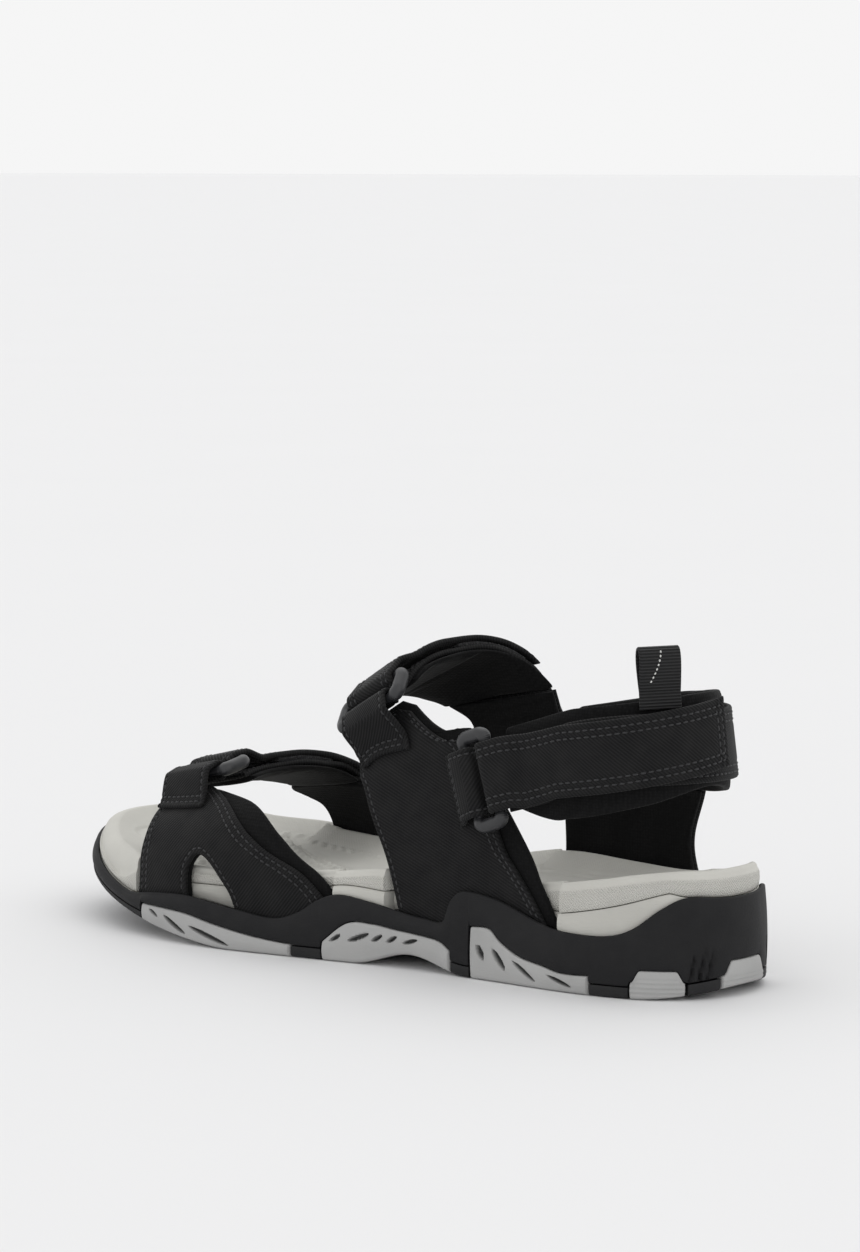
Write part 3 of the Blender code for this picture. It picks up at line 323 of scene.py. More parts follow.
lateral_y, medial_y = side_curve(1), side_curve(-1)
cup_top_lateral, cup_top_medial = profile(CUP_TOP_LATERAL), profile(CUP_TOP_MEDIAL)
core_top_lateral, core_top_medial = profile(CORE_TOP_LATERAL), profile(CORE_TOP_MEDIAL)
rim_lateral, rim_medial = profile(RIM_LATERAL), profile(RIM_MEDIAL)
dish, tread_depth, cup_floor = profile(DISH), profile(TREAD_DEPTH), profile(CUP_FLOOR)
last_base, last_top, last_power = profile(LAST_BASE), profile(LAST_TOP), profile(LAST_POWER)


def ground(x):
    """Underside of the tread: flat, with toe spring, a lifted heel edge and a lifted waist."""
    toe = TOE_SPRING * np.clip((x - SPRING_START) / (LENGTH - SPRING_START), 0, 1) ** SPRING_POWER
    heel = HEEL_LIFT * np.clip((HEEL_LIFT_LENGTH - x) / HEEL_LIFT_LENGTH, 0, 1) ** 2
    waist = np.clip(np.abs(x - WAIST_MIDDLE) / WAIST_HALF, 0, 1)
    return toe + heel + WAIST_LIFT * np.cos(0.5 * math.pi * waist) ** 2


def tread_top(x):
    """The top of the tread: the ground line plus its depth."""
    return ground(x) + tread_depth(x)


def spine_y(x):
    """The middle line of the sole at a station."""
    return 0.5 * (lateral_y(x) + medial_y(x))


# ---------------------------------------------------------------- the last
def last_half(x):
    """Half the width of the last at a station."""
    return 0.5 * (lateral_y(x) - medial_y(x)) - LAST_INSET


def last_rise(x, z):
    """A height as a share of the way from the last's base to its top."""
    return np.clip((z - last_base(x)) / (last_top(x) - last_base(x)), 0, 1.2)


def last_level(x, y, z):
    """Above 1 outside the last and under 1 inside it: a superellipse section at each station."""
    across = np.abs(y - spine_y(x)) / last_half(x)
    return across ** last_power(x) + last_rise(x, z) ** last_power(x)


def lifted(x, y, z, lift):
    """Points moved off the last along the slope of its level."""
    step = 0.5
    slope = [
        last_level(x + step, y, z) - last_level(x - step, y, z),
        last_level(x, y + step, z) - last_level(x, y - step, z),
        last_level(x, y, z + step) - last_level(x, y, z - step),
    ]
    normal = np.stack(slope, -1)
    normal /= np.linalg.norm(normal, axis=-1, keepdims=True)
    return np.stack([x, y, z], -1) + normal * np.asarray(lift, float)[..., None]


def crossing_surface(x, angle, lift):
    """The last at a station and an angle: 0 lateral, 90 top, 180 medial."""
    x, angle = np.broadcast_arrays(np.asarray(x, float), np.radians(angle))
    power = 2 / last_power(x)
    c, s = np.cos(angle), np.sin(angle)
    y = spine_y(x) + last_half(x) * np.sign(c) * np.abs(c) ** power
    return lifted(x, y, last_base(x) + (last_top(x) - last_base(x)) * np.abs(s) ** power, lift)


def wall_y(x, z, side):
    """The y of a side wall of the upper: the middle line, plus a superellipse of the last's half width."""
    power = last_power(x)
    return spine_y(x) + side * last_half(x) * (1 - np.minimum(last_rise(x, z), 1) ** power) ** (1 / power)


def lateral_surface(x, z, lift):
    """The outer side of the upper, lifted outwards."""
    return lifted(x, wall_y(x, z, 1), z, lift)


def medial_surface(x, z, lift):
    """The inner side of the upper, lifted outwards."""
    return lifted(x, wall_y(x, z, -1), z, lift)


def heel_plan(place, z):
    """Plan of the heel at a height: place 0 to 1 runs back along the lateral wall, 1 to 2 round the heel
    on half an ellipse and 2 to 3 forward along the medial wall."""
    place, z = np.broadcast_arrays(np.asarray(place, float), np.asarray(z, float))
    straight = np.where(place < 1, place, 3 - place)
    x = COLLAR_FRONT + (HEEL_CENTRE - COLLAR_FRONT) * np.clip(straight, 0, 1)
    y = wall_y(x, z, np.where(place < 1.5, 1.0, -1.0))
    turn = math.pi * (0.5 + np.clip(place - 1, 0, 1))
    back = HEEL_BACK_AT_60 + HEEL_LEAN * (z - 60)
    half = 0.5 * (wall_y(HEEL_CENTRE, z, 1) - wall_y(HEEL_CENTRE, z, -1))
    centre = 0.5 * (wall_y(HEEL_CENTRE, z, 1) + wall_y(HEEL_CENTRE, z, -1))
    curved = (place > 1) & (place < 2)
    round_x = HEEL_CENTRE + (HEEL_CENTRE - back) * np.cos(turn)
    return np.stack([np.where(curved, round_x, x), np.where(curved, centre + half * np.sin(turn), y), z], -1)


def heel_surface(place, z, lift):
    """The back of the upper by place round the heel and height, lifted outwards."""
    step = 0.05
    along = heel_plan(np.asarray(place) + step, z) - heel_plan(np.asarray(place) - step, z)
    up = heel_plan(place, np.asarray(z) + 1.0) - heel_plan(place, np.asarray(z) - 1.0)
    normal = np.cross(up, along)
    normal /= np.linalg.norm(normal, axis=-1, keepdims=True)
    return heel_plan(place, z) - normal * np.asarray(lift, float)[..., None]


# ---------------------------------------------------------------- meshes
def to_world(points):
    """Station millimetres to metres about the origin of the frame."""
    return (np.asarray(points, float) - (MIDDLE_STATION, MIDDLE_Y, 0)) * MM


def grid_quads(rows, columns, wrap=False):
    """Quads of a grid, joined from its last column back to its first when wrap is set."""
    r, c = np.meshgrid(np.arange(rows - 1), np.arange(columns if wrap else columns - 1), indexing="ij")
    n = (c + 1) % columns
    return np.stack(
        [r * columns + c, r * columns + n, (r + 1) * columns + n, (r + 1) * columns + c], -1
    ).reshape(-1, 4)


def make_piece(name, points, quads, finish, body=ROOT, nodes=(), uv=None, values=None, sharp=None):
    """A closed piece from points in station millimetres, with doubled points merged and faces turned out.
    uv is in centimetres of cloth, and values go to the point attribute "relief"."""
    mesh = bpy.data.meshes.new(name)
    mesh.vertices.add(len(points))
    mesh.vertices.foreach_set("co", to_world(points).astype(np.float32).ravel())
    mesh.loops.add(quads.size)
    mesh.loops.foreach_set("vertex_index", quads.astype(np.int32).ravel())
    mesh.polygons.add(len(quads))
    mesh.polygons.foreach_set("loop_start", np.arange(0, quads.size, quads.shape[1], dtype=np.int32))
    mesh.update(calc_edges=True)
    if uv is not None:
        mesh.uv_layers.new(name="cloth").data.foreach_set("uv", uv[quads.ravel()].astype(np.float32).ravel())
    if values is not None:
        # on the pods these values mark the slits, whose floors the finish darkens as painted shade
        mesh.attributes.new("relief", "FLOAT", "POINT").data.foreach_set("value", values.astype(np.float32))
    shape = bmesh.new()
    shape.from_mesh(mesh)
    bmesh.ops.remove_doubles(shape, verts=shape.verts, dist=2e-6)
    bmesh.ops.recalc_face_normals(shape, faces=shape.faces)
    shape.to_mesh(mesh)
    shape.free()
    mesh.shade_smooth()
    if sharp:
        mesh.set_sharp_from_angle(angle=math.radians(sharp))
    piece = bpy.data.objects.new(name, mesh)
    bpy.context.scene.collection.objects.link(piece)
    mesh.materials.append(finish)
    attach(piece, body)
    if nodes:
        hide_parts(*nodes)
    return piece


def spaced(length, edge, fine, coarse):
    """Shares of a length: like a quarter circle's at both ends, then fine steps, then coarse ones."""
    turn = np.linspace(0, 0.5 * math.pi, 5)
    near = edge * (1 - np.cos(turn))
    near = np.concatenate([near, np.arange(edge + fine, min(edge + 7 * fine, 0.4 * length), fine)])
    inner = np.linspace(near[-1], length - near[-1], max(3, int((length - 2 * near[-1]) / coarse) + 2))
    return np.concatenate([near[:-1], inner, (length - near[:-1])[::-1]]) / length


def lengths_along(grid, axis):
    """Distance along each line of a grid of points, from its start."""
    step = np.linalg.norm(np.diff(grid, axis=axis), axis=-1)
    pad = [(0, 0), (0, 0)]
    pad[axis] = (1, 0)
    return np.pad(np.cumsum(step, axis=axis), pad)


def grid_uv(grid):
    """The cloth map of a grid: the distances along its columns and rows, in centimetres."""
    return np.stack([lengths_along(grid, 0), lengths_along(grid, 1)], -1).reshape(-1, 2) * 0.1


def normals_of(grid, outward):
    """Unit normals of a grid of points, on the side that faces away from the point outward."""
    normal = np.cross(np.gradient(grid, axis=0), np.gradient(grid, axis=1))
    normal /= np.maximum(np.linalg.norm(normal, axis=-1, keepdims=True), 1e-9)
    last = grid[-3] - outward
    return normal if (normal[-3] * last).sum() > 0 else -normal


class Cloth:
    """A sewn sheet: a middle grid, its thickness, and the distances from its four borders."""

    def __init__(self, middle, thickness, edge, stitches=(), inside=(146, 0, 40), wave=0.12, flat=None):
        self.normal = normals_of(middle, np.array(inside, float))
        self.across, self.along = lengths_along(middle, 1), lengths_along(middle, 0)
        self.flat = np.stack([self.along, self.across], -1) if flat is None else flat(middle)
        far_across, far_along = self.across[:, -1:] - self.across, self.along[-1:] - self.along
        self.border = {"first": self.across, "second": far_across, "start": self.along, "end": far_along}
        nearest = np.minimum(np.minimum(self.across, far_across), np.minimum(self.along, far_along))
        middle = middle + self.normal * ripple(middle, wave, 23)[..., None]
        half = 0.5 * thickness * np.sqrt(1 - (1 - np.clip(nearest / edge, 0, 1)) ** 2)
        for border, distance in stitches:
            half = half - 0.16 * thickness * hump(self.border[border], distance, 0.9)
        self.top = middle + self.normal * half[..., None]
        self.bottom = middle - self.normal * half[..., None]

    def points(self):
        """The top grid, then the bottom one."""
        return np.concatenate([self.top.reshape(-1, 3), self.bottom.reshape(-1, 3)])

    def quads(self):
        """The quads of the top, then those of the bottom turned over."""
        rows, columns = self.top.shape[:2]
        quads = grid_quads(rows, columns)
        return np.concatenate([quads, quads[:, ::-1] + rows * columns])

    def uv(self):
        """The cloth map of both grids, in centimetres."""
        flat = self.flat.reshape(-1, 2) * 0.1
        return np.concatenate([flat, flat])

    def stitch_line(self, border, distance, skip=2.0):
        """The points of the top at a distance from a border, from one end of it to the other."""
        far = self.border[border]
        grid, top, normal = (far, self.top, self.normal)
        if border in ("start", "end"):
            grid, top, normal = far.T, top.transpose(1, 0, 2), normal.transpose(1, 0, 2)
        if border in ("second", "end"):
            grid, top, normal = grid[:, ::-1], top[:, ::-1], normal[:, ::-1]
        row = np.arange(len(grid))
        low = np.clip((grid < distance).sum(1) - 1, 0, grid.shape[1] - 2)
        share = (distance - grid[row, low]) / (grid[row, low + 1] - grid[row, low])
        share = np.clip(share, 0, 1)[:, None]
        line = top[row, low] * (1 - share) + top[row, low + 1] * share
        wide = grid.max(1) > 2.5 * distance
        run = lengths_along(line[:, None], 0)[:, 0]
        keep = wide & (run > skip) & (run < run[-1] - skip)
        return line[keep], normal[row, low][keep]


def edge_length(surface, first, second, lift):
    """The length of the longer of two edges on a surface, and the widest gap between them."""
    share = np.linspace(0, 1, 30)
    ends = [surface(*np.moveaxis(catmull(edge, share), -1, 0), np.full(30, lift)) for edge in (first, second)]
    along = max(lengths_along(end[:, None], 0)[-1, 0] for end in ends)
    return along, np.linalg.norm(ends[0] - ends[1], axis=1).max()


def patch(surface, first, second, lift, edge=0.9, fine=0.6, coarse=2.2, rise=(1, 1, 0)):
    """The middle grid between two edges of a surface, with straight lines across in the surface's measures;
    rise is the share where the lift starts to grow, the share where it stops, and by how much."""
    long, wide = edge_length(surface, first, second, lift)
    rows, columns = spaced(long, edge, fine, coarse), spaced(wide, edge, fine, coarse)
    a, b = catmull(first, rows)[:, None], catmull(second, rows)[:, None]
    place = a + (b - a) * columns[None, :, None]
    height = lift + (rise[2] * smooth(rise[0], rise[1], rows) if rise[2] else 0 * rows)
    return surface(place[..., 0], place[..., 1], np.broadcast_to(height[:, None], place.shape[:2]))


STITCHES = {}


def sew(body, cloth, stitches, kind="thread"):
    """Keeps stitch lines for the body's stitching, which is made when every cloth is there."""
    for border, distance in stitches:
        STITCHES.setdefault((body, kind), []).append(cloth.stitch_line(border, distance))


def add_cloth(
    name, middle, thickness, finish, stitches=(), body=ROOT, nodes=(), edge=0.9, flat=None
):
    """A sewn sheet with its stitch lines kept for later: returns the sheet and its piece."""
    cloth = Cloth(middle, thickness, edge, stitches, flat=flat)
    sew(body, cloth, stitches)
    piece = make_piece(name, cloth.points(), cloth.quads(), finish, body, nodes, uv=cloth.uv())
    return cloth, piece


def stitch_points(line, normal, pitch, length, radius):
    """Stitches along a line: each an eight-sided spindle, half sunk in the cloth, thickest at its middle."""
    run = lengths_along(line[:, None], 0)[:, 0]
    at = np.arange(0.5 * pitch, run[-1] - 0.4 * pitch, pitch)
    if len(at) == 0:
        return np.zeros((0, 3)), np.zeros((0, 4), int)

    def along(values, where):
        return np.stack([np.interp(where, run, values[:, k]) for k in range(3)], -1)

    middle, up = along(line, at), along(normal, at)
    ahead = along(line, at + 0.3) - along(line, at - 0.3)
    ahead /= np.maximum(np.linalg.norm(ahead, axis=1, keepdims=True), 1e-9)
    up /= np.linalg.norm(up, axis=1, keepdims=True)
    side = np.cross(up, ahead)
    share, girth = np.array([-0.5, -0.34, 0, 0.34, 0.5]), np.array([0.15, 0.85, 1, 0.85, 0.15])
    sink = np.array([-0.5, 0.15, 0.35, 0.15, -0.5]) * radius
    turn = np.linspace(0, 2 * math.pi, 6, endpoint=False)
    ring = girth[:, None] * radius
    points = (
        middle[:, None, None]
        + ahead[:, None, None] * (share * length)[None, :, None, None]
        + side[:, None, None] * (ring * np.cos(turn))[None, ..., None]
        + up[:, None, None] * (ring * np.sin(turn) + sink[:, None])[None, ..., None]
    )
    count = len(at)
    body = grid_quads(5, 6, wrap=True)
    caps = np.array([[0, 1, 2, 3], [0, 3, 4, 5], [27, 26, 25, 24], [29, 28, 27, 24]])
    quads = np.concatenate([body, caps])
    return points.reshape(-1, 3), (quads[None] + 30 * np.arange(count)[:, None, None]).reshape(-1, 4)


def add_stitching(name, body, lines, finish, pitch, length, radius):
    """One piece from all the stitches of some lines."""
    made = [stitch_points(line, normal, pitch, length, radius) for line, normal in lines if len(line) > 4]
    starts = np.cumsum([0] + [len(points) for points, _ in made[:-1]])
    points = np.concatenate([points for points, _ in made])
    quads = np.concatenate([quads + start for (_, quads), start in zip(made, starts)])
    return make_piece(name, points, quads, finish, body)


# ---------------------------------------------------------------- materials
def put(tree, kind, **inputs):
    """A node with its properties and inputs set by name; a socket given as a value is linked."""
    node = tree.nodes.new(kind)
    for name, value in inputs.items():
        if not name.startswith("i_") and hasattr(node, name):
            setattr(node, name, value)
            continue
        key = name.removeprefix("i_")
        socket = node.inputs[int(key)] if key.isdigit() else node.inputs[key.replace("_", " ")]
        if isinstance(value, bpy.types.NodeSocket):
            tree.links.new(value, socket)
        else:
            socket.default_value = value
    return node


def math_node(tree, operation, *values, clamp=False):
    """A Math node of an operation; values may be numbers or sockets."""
    inputs = {f"i_{k}": value for k, value in enumerate(values)}
    return put(tree, "ShaderNodeMath", operation=operation, use_clamp=clamp, **inputs).outputs[0]


def product(tree, first, second):
    """One value times another."""
    return math_node(tree, "MULTIPLY", first, second)


def scaled(tree, value, factor, added, clamp=False):
    """A value times a factor, plus a constant."""
    return math_node(tree, "MULTIPLY_ADD", value, factor, added, clamp=clamp)


def mixed(tree, factor, first, second):
    """A colour between two others."""
    node = tree.nodes.new("ShaderNodeMix")
    node.data_type = "RGBA"
    for socket, value in ((node.inputs[0], factor), (node.inputs[6], first), (node.inputs[7], second)):
        if isinstance(value, bpy.types.NodeSocket):
            tree.links.new(value, socket)
        else:
            socket.default_value = value
    return node.outputs[2]


def group(name, inputs, outputs):
    """A new node group with named inputs (name, type, default) and named float outputs."""
    tree = bpy.data.node_groups.new(name, "ShaderNodeTree")
    for label, kind, default in inputs:
        socket = tree.interface.new_socket(label, in_out="INPUT", socket_type=kind)
        if default is not None:
            socket.default_value = default
    for label in outputs:
        tree.interface.new_socket(label, in_out="OUTPUT", socket_type="NodeSocketFloat")
    return tree, tree.nodes.new("NodeGroupInput").outputs, tree.nodes.new("NodeGroupOutput").inputs


def twill_group():
    """Twill: ridges along one diagonal of the cloth, each broken into short floats, with uneven yarns."""
    tree, given, result = group(
        "Twill weave", [
            ("Vector", "NodeSocketVector", None), ("Ridges", "NodeSocketFloat", 9.5)
        ], ["Height", "Shade"]
    )
    split = put(tree, "ShaderNodeSeparateXYZ", i_0=given["Vector"]).outputs
    diagonal = math_node(tree, "ADD", split[0], product(tree, split[1], 0.8))
    ridge = product(tree, product(tree, diagonal, given["Ridges"]), 2 * math.pi)
    ridge = scaled(tree, math_node(tree, "SINE", ridge), 0.5, 0.5)
    weft = product(tree, product(tree, split[1], given["Ridges"]), 4 * math.pi)
    weft = scaled(tree, math_node(tree, "SINE", weft), 0.5, 0.5)
    uneven = put(tree, "ShaderNodeTexNoise", i_Vector=given["Vector"], i_Scale=2.2, i_Detail=4.0).outputs[0]
    height = product(tree, ridge, scaled(tree, weft, 0.35, 0.65))
    tree.links.new(height, result["Height"])
    tree.links.new(product(tree, height, scaled(tree, uneven, 0.7, 0.65)), result["Shade"])
    return tree


def knit_group():
    """Knit: rows of small loops, from cells whose distances make round knobs."""
    tree, given, result = group(
        "Knit", [
            ("Vector", "NodeSocketVector", None), ("Loops", "NodeSocketFloat", 900.0)
        ], ["Height", "Shade"]
    )
    cells = put(
        tree, "ShaderNodeTexVoronoi", i_Vector=given["Vector"], i_Scale=given["Loops"], i_Randomness=0.35
    )
    knob = math_node(tree, "SUBTRACT", 1.0, cells.outputs["Distance"], clamp=True)
    cloud = put(tree, "ShaderNodeTexNoise", i_Vector=given["Vector"], i_Scale=60.0, i_Detail=5.0).outputs[0]
    tree.links.new(knob, result["Height"])
    tree.links.new(product(tree, knob, scaled(tree, cloud, 0.9, 0.5)), result["Shade"])
    return tree


def grain_group():
    """Moulded grain: fine speckle over slow clouds."""
    tree, given, result = group(
        "Moulded grain", [
            ("Vector", "NodeSocketVector", None), ("Fineness", "NodeSocketFloat", 1400.0)
        ], ["Height", "Cloud"]
    )
    fine = put(
        tree, "ShaderNodeTexNoise", i_Vector=given["Vector"], i_Scale=given["Fineness"], i_Detail=3.0
    ).outputs[0]
    slow = product(tree, given["Fineness"], 0.03)
    cloud = put(tree, "ShaderNodeTexNoise", i_Vector=given["Vector"], i_Scale=slow, i_Detail=6.0).outputs[0]
    tree.links.new(fine, result["Height"])
    tree.links.new(cloud, result["Cloud"])
    return tree


def dust_group():
    """Dust: patches that gather where the surface faces up."""
    tree, given, result = group(
        "Dust", [("Vector", "NodeSocketVector", None), ("Amount", "NodeSocketFloat", 0.3)], ["Mask"]
    )
    facing = put(
        tree, "ShaderNodeSeparateXYZ", i_0=put(tree, "ShaderNodeNewGeometry").outputs["Normal"]
    ).outputs[2]
    up = scaled(tree, facing, 0.5, 0.5, clamp=True)
    patches = put(
        tree, "ShaderNodeTexNoise", i_Vector=given["Vector"], i_Scale=140.0, i_Detail=8.0
    ).outputs[0]
    patches = scaled(tree, patches, 2.4, -0.85, clamp=True)
    tree.links.new(product(tree, product(tree, up, patches), given["Amount"]), result["Mask"])
    return tree


def ribs_group():
    """Ribs: even ridges along the second axis of the surface, slanted by a share of the first."""
    tree, given, result = group(
        "Ribs", [
            ("Vector", "NodeSocketVector", None), ("Ribs", "NodeSocketFloat", 9.0),
            ("Slant", "NodeSocketFloat", 0.0)
        ],
        ["Height"],
    )
    split = put(tree, "ShaderNodeSeparateXYZ", i_0=given["Vector"]).outputs
    place = math_node(tree, "ADD", split[1], product(tree, split[0], given["Slant"]))
    wave = product(tree, product(tree, place, given["Ribs"]), 2 * math.pi)
    tree.links.new(scaled(tree, math_node(tree, "SINE", wave), 0.5, 0.5), result["Height"])
    return tree


GROUPS = {
    "twill": ("Twill weave", twill_group),
    "knit": ("Knit", knit_group),
    "grain": ("Moulded grain", grain_group),
    "dust": ("Dust", dust_group),
    "ribs": ("Ribs", ribs_group),
}


def placed(tree, key, vector, **inputs):
    """The outputs of a node group, which is built the first time it is asked for."""
    title, make = GROUPS[key]
    node = tree.nodes.new("ShaderNodeGroup")
    node.node_tree = bpy.data.node_groups.get(title) or make()
    tree.links.new(vector, node.inputs["Vector"])
    for name, value in inputs.items():
        node.inputs[name].default_value = value
    return node.outputs


def finish(name, roughness=0.7, sheen=0.0, coat=0.0, specular=0.4):
    """A material with a Principled shader, the piece's cloth map and the Object coordinates."""
    made = bpy.data.materials.new(name)
    made.use_nodes = True
    tree = made.node_tree
    shader = tree.nodes["Principled BSDF"]
    shader.inputs["Roughness"].default_value = roughness
    shader.inputs["Sheen Weight"].default_value = sheen
    shader.inputs["Sheen Roughness"].default_value = 0.4
    shader.inputs["Coat Weight"].default_value = coat
    shader.inputs["Specular IOR Level"].default_value = specular
    cloth = put(tree, "ShaderNodeUVMap", uv_map="cloth").outputs[0]
    return made, tree, shader, cloth, put(tree, "ShaderNodeTexCoord").outputs["Object"]


def shade(tree, shader, dark, light, amount):
    """The colour between a dark and a light one; both may be a plain colour or a factor of the first."""
    tree.links.new(mixed(tree, amount, (*dark, 1), (*light, 1)), shader.inputs["Base Color"])


def relief(tree, shader, height, distance, strength=1.0, under=None):
    """A Bump node on the shader's normal; returns it so that another may lie under it."""
    inputs = {"i_Height": height, "i_Distance": distance, "i_Strength": strength}
    bump = put(tree, "ShaderNodeBump", **inputs)
    if under is not None:
        tree.links.new(under, bump.inputs["Normal"])
    tree.links.new(bump.outputs[0], shader.inputs["Normal"])
    return bump.outputs[0]


def rough(tree, shader, value, low, high):
    """Roughness that runs from low to high as a value runs from 0 to 1."""
    node = put(tree, "ShaderNodeMapRange", i_Value=value, i_To_Min=low, i_To_Max=high)
    tree.links.new(node.outputs[0], shader.inputs["Roughness"])


def times(colour, factor):
    """A colour with each of its parts times a factor."""
    return tuple(c * factor for c in colour)


def twill_material():
    """Outer fabric: twill ridges with a little dust on top."""
    s = settings()
    made, tree, shader, cloth, place = finish("black_twill_finish", sheen=0.05, specular=0.2)
    weave = placed(tree, "twill", cloth, Ridges=0.01 / s.weave)
    dust = placed(tree, "dust", place, Amount=0.25)
    shade(tree, shader, times(s.twill, 0.55), times(s.twill, 1.45), weave["Shade"])
    tree.links.new(
        mixed(tree, dust["Mask"], shader.inputs["Base Color"].links[0].from_socket, (0.045, 0.044, 0.042, 1)),
        shader.inputs["Base Color"],
    )
    rough(tree, shader, weave["Height"], 0.88, 0.58)
    under = relief(tree, shader, weave["Height"], 0.00013, 0.7)
    grain = placed(tree, "grain", place, Fineness=2600.0)
    relief(tree, shader, grain["Height"], 0.00006, 0.6, under)
    return made


def lining_material():
    """Padded lining: a close knit."""
    s = settings()
    made, tree, shader, _, place = finish("black_lining_finish", roughness=0.9, sheen=0.06, specular=0.15)
    knit = placed(tree, "knit", place, Loops=950.0)
    shade(tree, shader, times(s.lining, 0.5), times(s.lining, 1.7), knit["Shade"])
    rough(tree, shader, knit["Height"], 0.95, 0.78)
    relief(tree, shader, knit["Height"], 0.00018, 0.8)
    return made


def foam_material(
    name, colour, roughness, fineness, scratch=0.0, dust_amount=0.2, dust_colour=(0.04, 0.0395, 0.038),
    slits=False
):
    """Moulded foam or rubber: a clouded colour, speckle, dust on top and fine scratches along the sole; with
    slits set, the slit floors are darkened, partly painted shade and partly the black midsole seen through
    the cuts.
    """
    made, tree, shader, cloth, place = finish(name, roughness, specular=0.25)
    grain = placed(tree, "grain", place, Fineness=fineness)
    shade(tree, shader, times(colour, 0.8), times(colour, 1.22), grain["Cloud"])
    dust = placed(tree, "dust", place, Amount=dust_amount)
    base = shader.inputs["Base Color"].links[0].from_socket
    tree.links.new(mixed(tree, dust["Mask"], base, (*dust_colour, 1)), shader.inputs["Base Color"])
    if slits:
        # painted shade in the pods' slits: where the point attribute marks a slit the colour falls to 0.12 of
        # the pod colour, partly standing for the black midsole under the cut
        cut = put(tree, "ShaderNodeAttribute", attribute_name="relief").outputs["Fac"]
        base = shader.inputs["Base Color"].links[0].from_socket
        tree.links.new(mixed(tree, cut, base, (*times(colour, 0.12), 1)), shader.inputs["Base Color"])
    rough(tree, shader, grain["Cloud"], roughness + 0.12, roughness - 0.1)
    under = relief(tree, shader, grain["Height"], 0.00009, 0.7)
    if scratch:
        stretched = put(tree, "ShaderNodeMapping", i_Vector=cloth, i_Scale=(0.5, 22.0, 1.0)).outputs[0]
        lines = put(tree, "ShaderNodeTexNoise", i_Vector=stretched, i_Scale=1.6, i_Detail=4.0).outputs[0]
        relief(tree, shader, lines, scratch, 0.6, under)
    return made


def footbed_material():
    """Foam with a clear rim band, crossed ribs under it and fine slanted lines on the slope."""
    s = settings()
    made, tree, shader, cloth, place = finish("footbed_foam_finish", 0.78, specular=0.3)
    grain = placed(tree, "grain", place, Fineness=1500.0)
    shade(tree, shader, times(s.footbed, 0.86), times(s.footbed, 1.08), grain["Cloud"])
    rough(tree, shader, grain["Cloud"], 0.9, 0.7)
    one, other = placed(tree, "ribs", cloth, Ribs=9.0, Slant=1.1), placed(
        tree, "ribs", cloth, Ribs=9.0, Slant=-1.1
    )
    ribs = math_node(tree, "MINIMUM", one["Height"], other["Height"])
    masked = product(tree, ribs, put(tree, "ShaderNodeAttribute", attribute_name="relief").outputs["Fac"])
    under = relief(tree, shader, masked, 0.00035, 0.8)
    relief(tree, shader, grain["Height"], 0.0001, 0.7, under)
    return made


def patch_material(name, colour, loops, height):
    """Hook or loop tape: a nap of short fibres, with a painted highlight on their tips and painted shade
    between them.
    """
    made, tree, shader, _, place = finish(name, 0.95, sheen=0.2, specular=0.2)
    nap = placed(tree, "knit", place, Loops=loops)
    # painted highlight and shade: the knob tips are coloured up to 2.6 times the tape colour, the hollows
    # down to 0.35 times
    shade(tree, shader, times(colour, 0.35), times(colour, 2.6), nap["Shade"])
    relief(tree, shader, nap["Height"], height, 1.0)
    return made


def webbing_material():
    """Ribbed webbing: even ribs across its length."""
    s = settings()
    made, tree, shader, cloth, place = finish("black_webbing_finish", 0.7, sheen=0.08)
    ribs = placed(tree, "ribs", cloth, Ribs=9.5)
    grain = placed(tree, "grain", place, Fineness=2400.0)
    shade(tree, shader, times(s.twill, 0.4), times(s.twill, 1.9), ribs["Height"])
    rough(tree, shader, ribs["Height"], 0.85, 0.55)
    under = relief(tree, shader, ribs["Height"], 0.0003, 0.9)
    relief(tree, shader, grain["Height"], 0.00008, 0.6, under)
    return made


def ring_material():
    """Moulded plastic of the rings: fine grain under a thin coat."""
    s = settings()
    made, tree, shader, _, place = finish("ring_plastic_finish", 0.36, coat=0.1, specular=0.5)
    grain = placed(tree, "grain", place, Fineness=1900.0)
    shade(tree, shader, times(s.rings, 0.85), times(s.rings, 1.3), grain["Cloud"])
    rough(tree, shader, grain["Cloud"], 0.5, 0.28)
    relief(tree, shader, grain["Height"], 0.00003, 0.6)
    return made


def thread_material(name, colour, roughness):
    """Twisted thread: slanted plies round each stitch."""
    made, tree, shader, _, place = finish(name, roughness, sheen=0.05)
    plies = put(
        tree, "ShaderNodeTexWave", i_Vector=place, i_Scale=1400.0, i_Distortion=1.0,
        bands_direction="DIAGONAL"
    )
    shade(tree, shader, times(colour, 0.55), times(colour, 1.3), plies.outputs["Fac"])
    relief(tree, shader, plies.outputs["Fac"], 0.00008, 0.8)
    return made


MATERIALS = {
    "twill": twill_material,
    "lining": lining_material,
    "cup": lambda: foam_material("black_foam_finish", tuple(settings().foam), 0.62, 1300.0, scratch=0.00022),
    "core": lambda: foam_material(
        "grey_foam_finish", times(settings().footbed, 0.86), 0.8, 1200.0, 0.0002, 0.1, (0.4, 0.39, 0.36)
    ),
    "tread": lambda: foam_material("black_rubber_finish", (0.02, 0.02, 0.021), 0.68, 1100.0, dust_amount=0.4),
    "pods": lambda: foam_material(
        "grey_rubber_finish", tuple(settings().pods), 0.6, 1250.0, 0.00012, 0.1, (0.42, 0.41, 0.39), True
    ),
    "footbed": footbed_material,
    "loop": lambda: patch_material("loop_patch_finish", (0.012, 0.012, 0.013), 1500.0, 0.0003),
    "hook": lambda: patch_material("hook_patch_finish", (0.03, 0.03, 0.031), 1100.0, 0.0004),
    "webbing": webbing_material,
    "ring": ring_material,
    "thread": lambda: thread_material("black_thread_finish", (0.03, 0.03, 0.032), 0.5),
    "white_thread": lambda: thread_material("white_thread_finish", (0.75, 0.75, 0.73), 0.6),
}
MADE = {}


def material(key):
    """The material of a key, made the first time it is asked for."""
    if key not in MADE:
        MADE[key] = MATERIALS[key]()
    return MADE[key]


